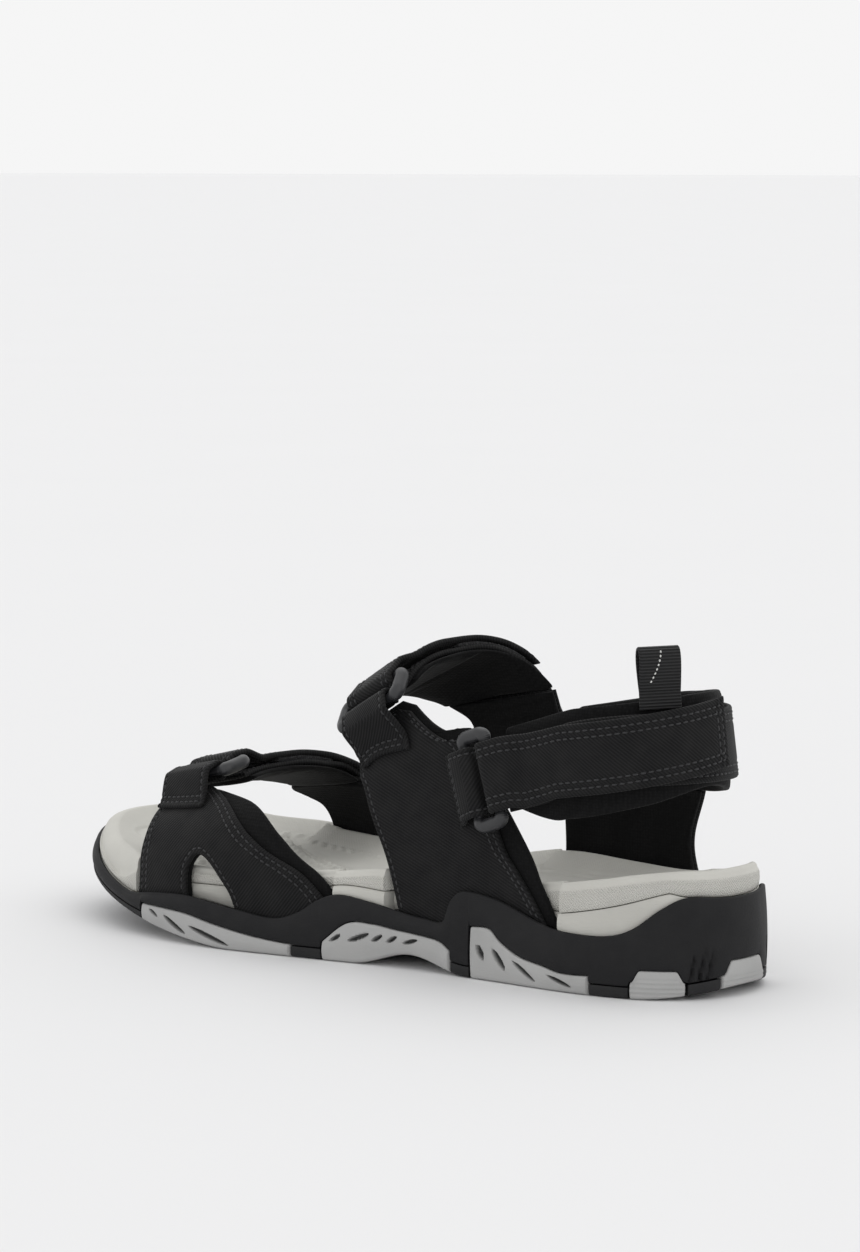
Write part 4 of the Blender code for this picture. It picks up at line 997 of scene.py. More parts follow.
# ---------------------------------------------------------------- rings round the sole
def polar_outline(centre):
    """The outline as a distance from a centre for each angle."""
    rel = OUTLINE_CURVE - centre
    angle = np.unwrap(np.arctan2(rel[:, 1], rel[:, 0]))
    order = np.argsort(angle)
    return lambda a: np.interp(a, angle[order], np.hypot(rel[:, 0], rel[:, 1])[order], period=2 * math.pi)


class Perimeter:
    """Outline points and the spine points they face: lateral side, toe, medial side, heel, then the first."""

    def __init__(self, stations, cap_angles, closed=True):
        toe, heel = np.radians(cap_angles), np.radians(cap_angles) + math.pi
        runs = [self.side_run(stations, 1), self.cap_run(SPINE_END, toe[::-1])]
        runs += [self.side_run(stations[::-1], -1), self.cap_run(SPINE_START, -heel)]
        runs = runs + [[part[:1] for part in runs[0]]] if closed else runs
        self.edge, self.spine, self.side = (np.concatenate([run[k] for run in runs]) for k in range(3))
        self.measure()

    def measure(self):
        """Rays from spine to edge, their lengths and angles, and the distance run round the edge."""
        self.x = self.edge[:, 0]
        self.ray = self.edge - self.spine
        self.reach = np.linalg.norm(self.ray, axis=1)
        self.angle = np.degrees(np.arctan2(self.ray[:, 1], self.ray[:, 0])) % 360
        self.run = np.concatenate([[0], np.cumsum(np.linalg.norm(np.diff(self.edge, axis=0), axis=1))])

    @staticmethod
    def side_run(stations, sign):
        """Places along one long side."""
        y = lateral_y(stations) if sign > 0 else medial_y(stations)
        count = len(stations)
        return [
            np.column_stack([stations, y]), np.column_stack([stations, spine_y(stations)]),
            np.full(count, float(sign))
        ]

    @staticmethod
    def cap_run(station, angles):
        """Places round one rounded end."""
        centre = np.array([station, spine_y(station)])
        ray = np.column_stack([np.cos(angles), np.sin(angles)])
        edge = centre + polar_outline(centre)(angles)[:, None] * ray
        return [edge, np.repeat(centre[None], len(angles), 0), np.sin(angles)]

    @classmethod
    def stretch(cls, run):
        """Only one run of places, for a pod."""
        made = cls.__new__(cls)
        made.edge, made.spine, made.side = run
        made.measure()
        return made

    def blend(self, lateral, medial):
        """A lateral and a medial curve, mixed by the side that each place is on."""
        share = 0.5 * (1 + self.side)
        return lateral(self.x) * share + medial(self.x) * (1 - share)

    def inside(self, inset):
        """Points this far in from the outline; None is the spine."""
        share = 1.0 if inset is None else np.minimum(inset / self.reach, 1)
        return self.edge + (self.spine - self.edge) * np.broadcast_to(share, len(self.x))[:, None]

    def ring(self, inset, height):
        """A ring whose height is an array, or a function of the station that each point is really at."""
        flat = self.inside(inset)
        z = height(flat[:, 0]) if callable(height) else height
        return np.column_stack([flat, np.broadcast_to(z, len(flat))])

    def zone(self, lateral_ranges, medial_ranges, soft=0.15):
        """1 inside the ranges of stations on each side, 0 outside them."""
        hit = np.zeros(len(self.x))
        for ranges, side in ((lateral_ranges, 1), (medial_ranges, -1)):
            for low, high in ranges:
                here = smooth(low - soft, low + soft, self.x) * (1 - smooth(high - soft, high + soft, self.x))
                hit = np.maximum(hit, here * (self.side * side > 0.999))
        return hit


def round_sole(fine, steps=()):
    """A perimeter with places about fine apart, and two at each step."""
    even = np.arange(SPINE_START, SPINE_END, fine)
    marks = np.array([s for x in steps for s in (x - GAP, x + GAP) if SPINE_START + 1 < x < SPINE_END])
    if len(marks):
        even = even[np.abs(even[:, None] - marks[None]).min(1) > 0.25 * fine]
    stations = np.unique(np.concatenate([even, marks, [SPINE_START, SPINE_END]]))
    caps = np.linspace(-88.5, 88.5, int(120 / fine))
    if len(steps):
        bounds = [
            180 - a for first, last,
            _ in HEEL_PODS.values() for a in (first - 1.7, first - 0.7, last + 0.7, last + 1.7)
        ]
        caps = np.unique(np.round(np.concatenate([caps, bounds]), 3))
    return Perimeter(stations, caps)


def ring_piece(name, around, rings, look, nodes, values=None, sharp=40):
    """A closed layer of the sole: the grid of its rings, from the spine out and back to the spine."""
    grid = np.stack([around.ring(inset, z) for inset, z in rings])
    uv = np.stack([np.broadcast_to(around.run, grid.shape[:2]), lengths_along(grid, 0)], -1) * 0.1
    relief_values = None if values is None else np.repeat(values, grid.shape[1])
    return make_piece(
        name, grid.reshape(-1, 3), grid_quads(*grid.shape[:2]), material(look), ROOT, nodes,
        uv=uv.reshape(-1, 2), values=relief_values, sharp=sharp,
    )


def heel_pod_top(angle, first, last, height):
    """A heel pod's top edge: flat, with a soft chamfer over the last sixth of its angles at each end."""
    share = np.clip((angle - first) / (last - first), 0, 1)
    return height * (1 - CHAMFER_DROP * smooth(CHAMFER_SHARE, 0.0, np.minimum(share, 1 - share)))


def pod_tops(around):
    """The height of the pods' tops round the sole, and where there is a pod."""
    x = around.x
    floor = tread_top(x)
    top, inside = floor + 0.15, np.zeros(len(x), bool)
    for (first, last), heights in SIDE_PODS.values():
        here = (np.abs(around.side) > 0.999) & (x > first - GAP / 2) & (x < last + GAP / 2)
        top[here] = np.maximum(profile(heights)(x[here]), floor[here] + 0.5) + GAP
        inside |= here
    for first, last, height in HEEL_PODS.values():
        here = (x < SPINE_START - 0.01) & (around.angle > first - 1.2) & (around.angle < last + 1.2)
        top[here] = np.maximum(heel_pod_top(around.angle[here], first, last, height), floor[here] + 0.5) + GAP
        inside |= here
    return top, inside


def pod_steps():
    """The stations where a pod or a strap zone starts or ends."""
    steps = [s for (first, last), _ in SIDE_PODS.values() for s in (first, last)]
    return steps + [s for zone in LATERAL_STRAP_ZONES + MEDIAL_STRAP_ZONES for s in zone]


def cup_rings(around):
    """The cup's rings: floor, pod recess, bulged wall with heel grooves, rounded lip, shelf and cavity."""
    x = around.x
    top_of_pod, _ = pod_tops(around)
    bottom = tread_top(x) + GAP
    seat = np.maximum(top_of_pod, bottom + 0.15)
    top = around.blend(cup_top_lateral, cup_top_medial)
    shelf = top - SHELF_DROP
    rings = [(None, lambda s: tread_top(s) + GAP), (POD_DEPTH + 2, lambda s: tread_top(s) + GAP)]
    rings += [
        (RECESS_INSET, lambda s: tread_top(s) + GAP), (RECESS_INSET, seat), (0.9, seat), (0.45, seat + 0.12)
    ]
    wall_low, wall_high = seat + 0.5, top - 0.75
    heel = around.x < SPINE_START + 2
    for share in np.linspace(0, 1, 13):
        z = wall_low + (wall_high - wall_low) * share
        inset = 0.3 - 1.4 * share + 2.1 * share**2
        groove = 0
        for angle in GROOVE_ANGLES:
            slanted = around.angle - angle - 0.35 * (z - 9) * np.sign(180 - angle)
            groove = groove + hump(slanted, 0, 1.5 - 0.04 * z) * (1 - smooth(12, 19, z))
        rings.append((inset + GROOVE_DEPTH * groove * heel, z))
    for turn in np.linspace(0, 0.5 * math.pi, 5)[1:]:
        rings.append((1.0 + 0.75 * (1 - math.cos(turn)), top - 0.75 * (1 - math.sin(turn))))
    rings += [(2.2, top), (2.5, top - 0.15), (2.6, top - 0.5), (2.6, shelf), (CAVITY_INSET, shelf)]
    rings += [
        (CAVITY_INSET, lambda s: tread_top(s) + GAP + cup_floor(s)),
        (None, lambda s: tread_top(s) + GAP + cup_floor(s))
    ]
    return rings


def tread_rings(around):
    """The tread's rings: lugs cut by slanted wavy grooves underneath, a rounded edge and a flat top."""
    x = around.x
    _, in_pod = pod_tops(around)
    edge = np.where(in_pod, POD_DEPTH + GAP, 0.5)

    def lug(inset):
        flat = around.inside(inset)
        wave = np.abs(flat[:, 1]) * 0.55 + 1.6 * np.sin(flat[:, 1] * 0.35)
        cut = smooth(0.55, 0.8, np.sin((flat[:, 0] + wave) * 2 * math.pi / 10.5))
        away = np.hypot(*(flat - around.inside(edge)).T)
        return ground(flat[:, 0]) + 0.42 * tread_depth(flat[:, 0]) * cut * smooth(1.6, 3.2, away)

    start = edge + 1.2
    rings = [(None, lug(None))]
    rings += [(start + (around.reach - start) * (1 - share), None) for share in np.linspace(0.03, 1, 34)]
    rings = [(inset, lug(inset)) for inset, _ in rings]
    rings += [(edge + 0.35, ground(x) + 0.22), (edge, ground(x) + 0.8), (edge, tread_top)]
    rings += [
        (np.where(in_pod, POD_DEPTH + 1, RECESS_INSET), tread_top), (POD_DEPTH + 2, tread_top),
        (None, tread_top)
    ]
    return rings


def sole_inset(around):
    """How far the soft layers stand in from the outline: further where a panel passes outside them."""
    return OPEN_INSET + (STRAP_INSET - OPEN_INSET) * around.zone(LATERAL_STRAP_ZONES, MEDIAL_STRAP_ZONES, 0.3)


def core_top(around):
    """The seam between core and footbed, which drops behind the cup's lip at toe and heel."""
    top, lip = around.blend(core_top_lateral, core_top_medial), around.blend(cup_top_lateral, cup_top_medial)
    hidden = smooth(228, 234, around.x) + smooth(13, 7, around.x)
    return top + (np.minimum(top, lip - 0.4) - top) * hidden


def core_rings(around):
    """The core's rings: a plug in the cup's cavity, a shelf, a slightly hollow wall and a sunk top."""
    x = around.x
    inset = sole_inset(around)
    top = core_top(around)
    shelf = around.blend(cup_top_lateral, cup_top_medial) - SHELF_DROP + 0.5
    sunk = lambda s: dish(np.clip(s, SPINE_START, SPINE_END)) - 3.3
    base = lambda s: tread_top(s) + 2 * GAP + cup_floor(s)
    plug = CAVITY_INSET + 0.6
    rings = [(None, base), (plug, base), (plug, shelf), (inset + 0.4, shelf), (inset + 0.1, shelf + 0.3)]
    for share in np.linspace(0, 1, 7):
        z = shelf + 0.6 + (top - shelf - 0.9) * share
        rings.append((inset - 0.5 * np.sin(math.pi * share) * (top - shelf > 3), z))
    rings += [(inset + 0.35, top), (inset + 3, top - 0.1)]
    low = np.minimum(top, sunk(x))
    return rings + [(inset + 16, low), (None, sunk)]


def footbed_top(flat, hollow, rim, away, side):
    """Height of the footbed's top: a dish that meets the raised rim, with bumps, blocks and grooves."""
    share = np.interp(away, (0, 4.4, 10.4, 17.4, 24, 40), (1, 0.62, 0.25, 0.06, 0.01, 0))
    z = hollow + (rim - hollow) * share
    x, y = flat[:, 0], flat[:, 1] - spine_y(np.clip(flat[:, 0], SPINE_START, SPINE_END))
    half = (x - BUMPS_START) * BUMPS_SPREAD
    zone = smooth(0, 1.5, half - np.abs(y + 2)) * (1 - smooth(238, 240, x)) * (away > 12)
    row = np.round((x - BUMPS_FIRST) / BUMP_ROWS)
    across = (y + 2) / BUMP_COLUMNS - 0.5 * (row % 2)
    distance = np.hypot((x - BUMPS_FIRST) - row * BUMP_ROWS, (across - np.round(across)) * BUMP_COLUMNS)
    z = z + BUMP_HEIGHT * zone * np.sqrt(np.clip(1 - (distance / BUMP_RADIUS) ** 2, 0, 1))
    outline = hump(half - np.abs(y + 2), -1.2, 0.9) * (x > 165) * (x < 240) * (away > 12)
    toe = np.hypot((x - 262) / 1.0, (y + 1) / 1.9)
    z = z - 0.9 * outline - 0.5 * hump(toe, 9, 1.1) * (x > 246) - 0.35 * hump(toe, 5, 0.9) * (x > 246)
    blocks = smooth(-0.2, 0.2, np.sin(x * 2 * math.pi / 5.2)) * hump(away, 10.5, 1.9) * (x > 150) * (x < 236)
    z = z + 0.8 * blocks * (np.abs(side) > 0.99)
    seat = hump(away, 9.5, 0.9) + hump(away, 13.0, 0.8)
    return z - 0.5 * seat * (1 - smooth(98, 112, x))


def footbed_rings(around):
    """The footbed's rings: underside on the core, a wall that leans in, a quarter-round rim and the dish."""
    inset = sole_inset(around)
    core = core_top(around)
    rim = around.blend(rim_lateral, rim_medial)
    toe = smooth(226, 250, around.x)
    edge_drop = 1.6 + (np.maximum(rim - core - 2.2, 1.6) - 1.6) * toe
    sunk = lambda s: dish(np.clip(s, SPINE_START, SPINE_END)) - 3.0
    low = np.minimum(core, dish(np.clip(around.x, SPINE_START, SPINE_END)) - 3.3) + GAP
    base = core + GAP
    rings, mask = [
        (None, sunk), (inset + 16, low), (inset + 3, base - 0.1), (inset + 0.35, base)
    ], [0, 0, 0, 0]
    for share in np.linspace(0, 1, 11):
        z = base + 0.3 + (rim - edge_drop - base - 0.3) * share
        lip = 0.28 * smooth(0.6, 0.72, share) * (1 - toe)
        rings.append((inset + 0.1 - 0.35 * math.sin(math.pi * share) - lip + 0.9 * share**3, z))
        mask.append(1 - float(smooth(0.8, 0.9, share)))
    for turn in np.linspace(0, 0.5 * math.pi, 7)[1:]:
        rings.append(
            (inset + 0.75 + (1.5 + 4.5 * toe) * (1 - math.cos(turn)), rim - edge_drop * (1 - math.sin(turn)))
        )
        mask.append(0.0)
    start = inset + 2.25 + 4.5 * toe
    hollow = dish(np.clip(around.x, SPINE_START, SPINE_END))
    for share in np.linspace(0, 1, 58)[1:]:
        place = start + (around.reach - start) * share
        flat = around.inside(None if share == 1 else place)
        at_spine = dish(np.clip(flat[:, 0], SPINE_START, SPINE_END))
        height = hollow + (at_spine - hollow) * share
        away = (around.reach - start) * share
        fade = 1 - smooth(0.93, 1.0, share)
        full = footbed_top(flat, height, rim, away, around.side)
        rings.append((None if share == 1 else place, at_spine * (1 - fade) + full * fade))
        mask.append(0.25 if share < 0.3 else 0.0)
    return rings, np.array(mask)


def slit_depth(name, x, z):
    """Slanted leaf-shaped slits: each a hump along its length times a hump across it."""
    depth = 0
    for middle_x, middle_z, half_long, half_wide, slope in SLITS[name]:
        turn = math.atan(slope)
        along = (x - middle_x) * math.cos(turn) + (z - middle_z) * math.sin(turn)
        across = (z - middle_z) * math.cos(turn) - (x - middle_x) * math.sin(turn)
        leaf = half_wide * np.sqrt(np.clip(1 - (along / half_long) ** 2, 0, 1))
        depth = depth + smooth(0, 0.4, leaf - np.abs(across))
    return np.clip(depth, 0, 1)


def add_pod(node, run, top_of, slits=None, ribs=False):
    """An L-shaped pod: a foot under the edge and a bulged wall up the side with slits or fine ribs."""
    around = Perimeter.stretch(run)
    x, low = around.x, ground(around.x)
    top = np.maximum(top_of(around), tread_top(x) + 0.5)
    floor = tread_top(around.inside(RECESS_INSET)[:, 0])
    wall = RECESS_INSET - GAP
    from_end = np.minimum(around.run, around.run[-1] - around.run)
    end = 0.9 * (1 - np.sqrt(1 - (1 - np.clip(from_end / 0.9, 0, 1)) ** 2))
    loops = [(POD_DEPTH, lambda s: tread_top(s)), (POD_DEPTH, ground), (1.2 + 0.5 * end, low)]
    loops += [(0.75 + end, low + 0.12), (0.3 + end, low + 0.45)]
    # shadow marks the slits: the pod finish darkens them, partly as painted shade and partly for the black
    # midsole seen through the cuts
    shadow = [np.zeros(len(x))] * 5
    for share in np.linspace(0, 1, 26):
        z = low + 0.9 + (top - 0.6 - low - 0.9) * share
        bulge = -0.45 * math.sin(math.pi * share) * np.clip((top - low) / 8, 0.2, 1)
        open_cut = slit_depth(slits, x, z) if slits else np.zeros(len(x))
        shadow.append(open_cut)
        cut = 1.7 * open_cut
        cut = cut + (
            0.18 * smooth(-0.3, 0.3, np.sin(z * 2 * math.pi / 1.6)) * smooth(0.7, 0.5, z / 12) if ribs else 0
        )
        loops.append((bulge + cut + end, z))
    loops += [(0.15 + end, top - 0.25), (0.55 + end, top), (wall, top), (wall, floor)]
    shadow = np.stack(shadow + [np.zeros(len(x))] * 5, 1)
    grid = np.stack([around.ring(inset, z) for inset, z in loops], 1)
    grid = np.concatenate([grid, grid[:, :1]], 1)
    shadow = np.pad(shadow, ((1, 1), (0, 0)))
    middle = grid[:, :-1].mean(1, keepdims=True)
    grid = np.concatenate(
        [np.broadcast_to(middle[:1], grid[:1].shape), grid, np.broadcast_to(middle[-1:], grid[:1].shape)]
    )
    uv = grid_uv(grid)
    quads = grid_quads(*grid.shape[:2])
    make_piece(
        node + "_rubber", grid.reshape(-1, 3), quads, material("pods"), ROOT, (node,),
        uv=uv, values=shadow.reshape(-1), sharp=35,
    )


# ---------------------------------------------------------------- fabric of the upper
def seat_height(x, side):
    """The height at which a panel stands on the cup."""
    return (cup_top_lateral(x) if side > 0 else cup_top_medial(x)) - SHELF_DROP + 1.1


def seated(place, rows, side, both_ends):
    """Moves the lower rows of a panel so that its foot stands on the cup's shelf."""
    x, z = place[..., 0], place[..., 1]
    lift = (seat_height(x[0], side) - z[0])[None] * (1 - smooth(0, 0.3, rows))[:, None]
    if both_ends:
        lift = lift + (seat_height(x[-1], side) - z[-1])[None] * smooth(0.7, 1, rows)[:, None]
    return np.stack([x, z + lift], -1)


def panel_grid(first, second, side, lift, both_ends=False, fine=0.55, coarse=2.0):
    """A panel between two edges given as (station, height), standing in the cup."""
    surface = lateral_surface if side > 0 else medial_surface
    long, wide = edge_length(surface, first, second, lift)
    rows, columns = spaced(long, 0.9, fine, coarse), spaced(wide, 0.9, fine, coarse)
    a, b = catmull(first, rows)[:, None], catmull(second, rows)[:, None]
    place = seated(a + (b - a) * columns[None, :, None], rows, side, both_ends)
    return surface(place[..., 0], place[..., 1], np.full(place.shape[:2], float(lift)))


EDGE_ROWS = (("first", 2.1), ("second", 2.1), ("second", 4.6))
STRAP_ROWS = (("first", 2.3), ("first", 4.6), ("second", 2.3), ("second", 4.6))


def up_grain(points):
    """The cloth map of a vamp: its twill climbs to the rear."""
    return points[..., [0, 2]]


def level_grain(points):
    """The cloth map of a quarter: its twill falls gently to the rear."""
    return np.stack([1.15 * points[..., 2], -0.62 * points[..., 0]], -1)


def add_panel(name, first, second, side, layer, look, stitches=(), both_ends=False):
    """One layer of a panel as a sewn sheet."""
    grid = panel_grid(first, second, side, layer[0], both_ends)
    flat = up_grain if both_ends else level_grain
    return add_cloth(
        name + "_cloth", grid, layer[1], material(look), stitches, ROOT, (name,), flat=flat
    )


class RingFrame:
    """Axes at a ring's strap bar: w along the bar, m along the strap away from the ring, n outwards."""

    def __init__(self, first, second, outward, away):
        self.centre = 0.5 * (first + second)
        self.w = (second - first) / np.linalg.norm(second - first)
        self.n = outward - self.w * (outward @ self.w)
        self.n /= np.linalg.norm(self.n)
        self.m = np.cross(self.w, self.n)
        if self.m @ away < 0:
            self.m = -self.m
        self.anchor = self.centre - self.m * BAR_SPACING

    def at(self, along, up, across, base=None):
        """A point by its distances along, up and across from the ring's bar."""
        base = self.centre if base is None else base
        along, up, across = (
            v[..., None] for v in np.broadcast_arrays(*(np.asarray(p, float) for p in (along, up, across)))
        )
        return base + along * self.m + up * self.n + across * self.w


def one(surface, a, b, lift):
    """A single point of a surface."""
    return surface(np.array(float(a)), np.array(float(b)), np.array(float(lift)))


def strap_frame(surface, front, rear, bar_lift, away):
    """The ring frame of a strap at the first points of its edges."""
    first, second = one(surface, *front[0], bar_lift), one(surface, *rear[0], bar_lift)
    middle = 0.5 * (np.array(front[0]) + np.array(rear[0]))
    outward = one(surface, *middle, 9.0) - one(surface, *middle, 8.0)
    return RingFrame(first, second, outward, np.array(away))


def between(edge, low, high):
    """Three points of an edge between two of its shares."""
    return tuple(tuple(p) for p in catmull(edge, np.linspace(low, high, 3)))


def flap_grid(frame, span, width):
    """Half a turn round the strap bar, then a soft step down to the rows of the strap."""
    columns = spaced(width, 0.9, 0.55, 1.6)
    across = (columns - 0.5) * width
    turns = np.radians(np.linspace(270, 90, 19))
    fold = frame.at(FOLD_RADIUS * np.cos(turns)[:, None], FOLD_RADIUS * np.sin(turns)[:, None], across[None])
    far = np.linalg.norm(span.mean(1) - frame.centre, axis=1)
    span = span[far > 1.5]
    far = far[far > 1.5]
    share = smooth(3, 14, far)[:, None, None]
    flat = frame.at(far[:, None], FOLD_RADIUS, across[None])
    return np.concatenate([fold, flat * (1 - share) + span * share])


def strap_grid(surface, front, rear, lift, rise=(1, 1, 0)):
    """The grid of a strap with the strap's fine and coarse steps."""
    return patch(surface, front, rear, lift, fine=0.55, coarse=2.0, rise=rise)


def span_grid(surface, front, rear, lift, width):
    """Rows of a flap: even along it from the ring, then finer at its end; the flap's columns across."""
    long, _ = edge_length(surface, front, rear, lift)
    rows = spaced(long, 0.9, 0.55, 1.6)
    rows = rows[rows * long > 7 * 0.55]
    rows = np.concatenate([np.linspace(0, rows[0], 4)[:-1], rows])
    columns = spaced(width, 0.9, 0.55, 1.6)
    a, b = catmull(front, rows)[:, None], catmull(rear, rows)[:, None]
    place = a + (b - a) * columns[None, :, None]
    return surface(place[..., 0], place[..., 1], np.full(place.shape[:2], float(lift)))


def add_ring(name, frame, body):
    """A rounded oblong of round bar whose short ends are thicker, swept as a closed tube."""
    half_long, corner = 0.5 * STRAP_WIDTH + SLOT_CLEARANCE + RING_BAR, 2.6
    path = []
    for cx, cy, start in ((1, 1, 0), (-1, 1, 90), (-1, -1, 180), (1, -1, 270)):
        turn = np.radians(np.linspace(start, start + 90, 12))
        middle = np.array([cx * (half_long - corner), cy * (0.5 * BAR_SPACING - corner)])
        path.append(middle + corner * np.column_stack([np.cos(turn), np.sin(turn)]))
    path = np.vstack(path)
    path = np.vstack([path, path[:1]])
    share = np.linspace(0, 1, 6, endpoint=False)[:, None]
    path = np.concatenate([a + (b - a) * share for a, b in zip(path[:-1], path[1:])])
    ahead = np.roll(path, -1, 0) - np.roll(path, 1, 0)
    side = np.column_stack([ahead[:, 1], -ahead[:, 0]])
    side /= np.linalg.norm(side, axis=1, keepdims=True)
    thick = smooth(half_long - 3.2, half_long - 0.6, np.abs(path[:, 0]))[:, None]
    turn = np.linspace(0, 2 * math.pi, 20, endpoint=False)
    out, up = np.cos(turn)[None], np.sin(turn)[None]
    radius = RING_BAR + 0.75 * thick
    across = path[:, None, 0] + side[:, None, 0] * (radius * out + 0.5 * thick)
    along = path[:, None, 1] + side[:, None, 1] * (radius * out + 0.5 * thick)
    points = frame.at(along, radius * up, across, frame.centre - frame.m * BAR_SPACING / 2)
    return tube(name + "_plastic", points, material("ring"), body, (name,), closed_path=True)


def tube(name, sections, look, body, nodes, closed_path=False, sharp=50):
    """A closed section along a path: its first column, and its first row or flat ends, are repeated."""
    grid = np.concatenate([sections, sections[:, :1]], 1)
    if closed_path:
        grid = np.concatenate([grid, grid[:1]])
    uv = np.stack([lengths_along(grid, 0), lengths_along(grid, 1)], -1)
    if not closed_path:
        ends = [np.broadcast_to(row[:-1].mean(0), row.shape)[None] for row in (grid[0], grid[-1])]
        grid = np.concatenate([ends[0], grid, ends[1]])
        uv = np.concatenate([uv[:1], uv, uv[-1:]])
    quads = grid_quads(*grid.shape[:2])
    return make_piece(
        name, grid.reshape(-1, 3), quads, look, body, nodes, uv=uv.reshape(-1, 2) * 0.1, sharp=sharp
    )


TAB_LENGTH, TAB_LIFT = 13.0, 4.85


def add_tab(name, frame, surface, low, high):
    """Fabric turned round the anchor bar and sewn flat to the panel: low and high are the strap's
    first points and where its two edges would run on to."""
    turned = RingFrame.__new__(RingFrame)
    turned.centre, turned.w, turned.n, turned.m = frame.anchor, frame.w, frame.n, -frame.m
    columns = spaced(STRAP_WIDTH - 0.8, 0.9, 0.55, 1.6)
    share = np.linspace(0, 1, 240)[:, None, None]
    a, b = np.array(low, float), np.array(high, float)
    start, finish_at = a[0] + (b[0] - a[0]) * columns[:, None], a[1] + (b[1] - a[1]) * columns[:, None]
    place = start[None] + (finish_at - start)[None] * share
    span = surface(place[..., 0], place[..., 1], np.full(place.shape[:2], TAB_LIFT))
    ahead = (span.mean(1) - frame.anchor) @ turned.m
    span = span[(ahead > 2.0) & (ahead < TAB_LENGTH)]
    run = (span.mean(1) - frame.anchor) @ turned.m
    keep = TAB_LENGTH * spaced(TAB_LENGTH, 0.9, 0.5, 1.0)
    picked = np.unique(np.abs(run[:, None] - keep[None]).argmin(0))
    grid = flap_grid(turned, span[picked], STRAP_WIDTH - 0.8)
    rows = (("end", 2.0), ("end", 4.2), ("first", 2.0), ("second", 2.0))
    add_cloth(name + "_cloth", grid, OUTER[1], material("twill"), rows, ROOT, (name,))


def inflate(name, grid, cap, look, node):
    """A padded piece: a closed grid swollen by cloth pressure up to a cap, smoothed and subdivided once."""
    uv = grid_uv(grid)
    pad = make_piece(
        name, grid.reshape(-1, 3), grid_quads(*grid.shape[:2]), look, ROOT, (node,), uv=uv
    )
    rest = coordinates(pad)
    cloth = pad.modifiers.new("pressure", "CLOTH")
    cloth.settings.quality = 4
    cloth.settings.use_pressure = True
    cloth.settings.uniform_pressure_force = 4
    cloth.settings.effector_weights.gravity = 0
    for step in range(1, 21):
        bpy.context.scene.frame_set(step)
    apply_modifiers(pad)
    bpy.context.scene.frame_set(1)
    moved = coordinates(pad) - rest
    length = np.linalg.norm(moved, axis=1, keepdims=True)
    swollen = rest + moved * np.minimum(1, cap * MM / np.maximum(length, 1e-9))
    pad.data.vertices.foreach_set("co", swollen.astype(np.float32).ravel())
    fine = pad.modifiers.new("fine", "SUBSURF")
    fine.levels = fine.render_levels = 1
    return pad


def apply_modifiers(obj):
    """The object's mesh as its modifiers make it, with the modifiers gone."""
    graph = bpy.context.evaluated_depsgraph_get()
    made = bpy.data.meshes.new_from_object(obj.evaluated_get(graph), depsgraph=graph)
    obj.modifiers.clear()
    obj.data = made


def coordinates(obj):
    """An object's points as an array."""
    values = np.empty(3 * len(obj.data.vertices), np.float32)
    obj.data.vertices.foreach_get("co", values)
    return values.reshape(-1, 3).astype(float)


def pad_shape(surface, front, rear, low_lift, high_lift):
    """A closed pad between two lifts: a rounded section, carried along the strap."""
    rows = np.linspace(0, 1, 60)
    turn = np.linspace(0, 2 * math.pi, 48, endpoint=False)
    wide = 0.5 + 0.5 * np.sign(np.cos(turn)) * np.abs(np.cos(turn)) ** 0.6
    thick = 0.5 + 0.5 * np.sign(np.sin(turn)) * np.abs(np.sin(turn)) ** 0.6
    a, b = catmull(front, rows)[:, None], catmull(rear, rows)[:, None]
    place = a + (b - a) * wide[None, :, None]
    lift = np.broadcast_to(low_lift + (high_lift - low_lift) * thick, place.shape[:2])
    sections = surface(place[..., 0], place[..., 1], lift)
    sections = np.concatenate([sections, sections[:, :1]], 1)
    ends = [np.broadcast_to(row.mean(0), row.shape)[None] for row in (sections[0], sections[-1])]
    return np.concatenate([ends[0], sections, ends[1]])


# ---------------------------------------------------------------- operators
class SANDAL_OT_cup_sole(bpy.types.Operator):
    """Makes the moulded cup and the rubber tread under it."""

    bl_idname = "sandal.cup_sole"
    bl_label = "Cup sole and tread"

    def execute(self, context):
        around = round_sole(1.0, pod_steps())
        ring_piece("cup_shell", around, cup_rings(around), "cup", ("cup_sole",))
        ring_piece("tread_lugs", around, tread_rings(around), "tread", ("tread",))
        return {"FINISHED"}


class SANDAL_OT_footbed(bpy.types.Operator):
    """Makes the footbed with its dish, bumps and grooves, and the core that it lies on."""

    bl_idname = "sandal.footbed"
    bl_label = "Footbed and core"

    def execute(self, context):
        around = round_sole(1.6, [s for zone in LATERAL_STRAP_ZONES + MEDIAL_STRAP_ZONES for s in zone])
        ring_piece("core_foam", around, core_rings(around), "core", ("midsole_core",))
        around = round_sole(0.85)
        rings, mask = footbed_rings(around)
        ring_piece(
            "footbed_top", around, rings, "footbed", ("footbed",), values=mask, sharp=60
        )
        return {"FINISHED"}


class SANDAL_OT_pods(bpy.types.Operator):
    """Makes the grey rubber pods along both sides and round the heel."""

    bl_idname = "sandal.pods"
    bl_label = "Pods"

    def execute(self, context):
        for name, ((first, last), heights) in SIDE_PODS.items():
            for side, word in ((1, "lateral"), (-1, "medial")):
                stations = np.arange(first + GAP, last - GAP + 0.01, 0.45)
                run = Perimeter.side_run(stations, side)
                add_pod(f"pod_{name}_{word}", run, lambda a, h=profile(heights): h(a.x), slits=name)
        for name, (first, last, height) in HEEL_PODS.items():
            angles = np.radians(np.arange(first - 0.7, last + 0.71, 0.7))
            run = Perimeter.cap_run(SPINE_START, angles)
            add_pod(
                name, run, lambda a, shape=(first, last, height): heel_pod_top(a.angle, *shape), ribs=True
            )
        return {"FINISHED"}


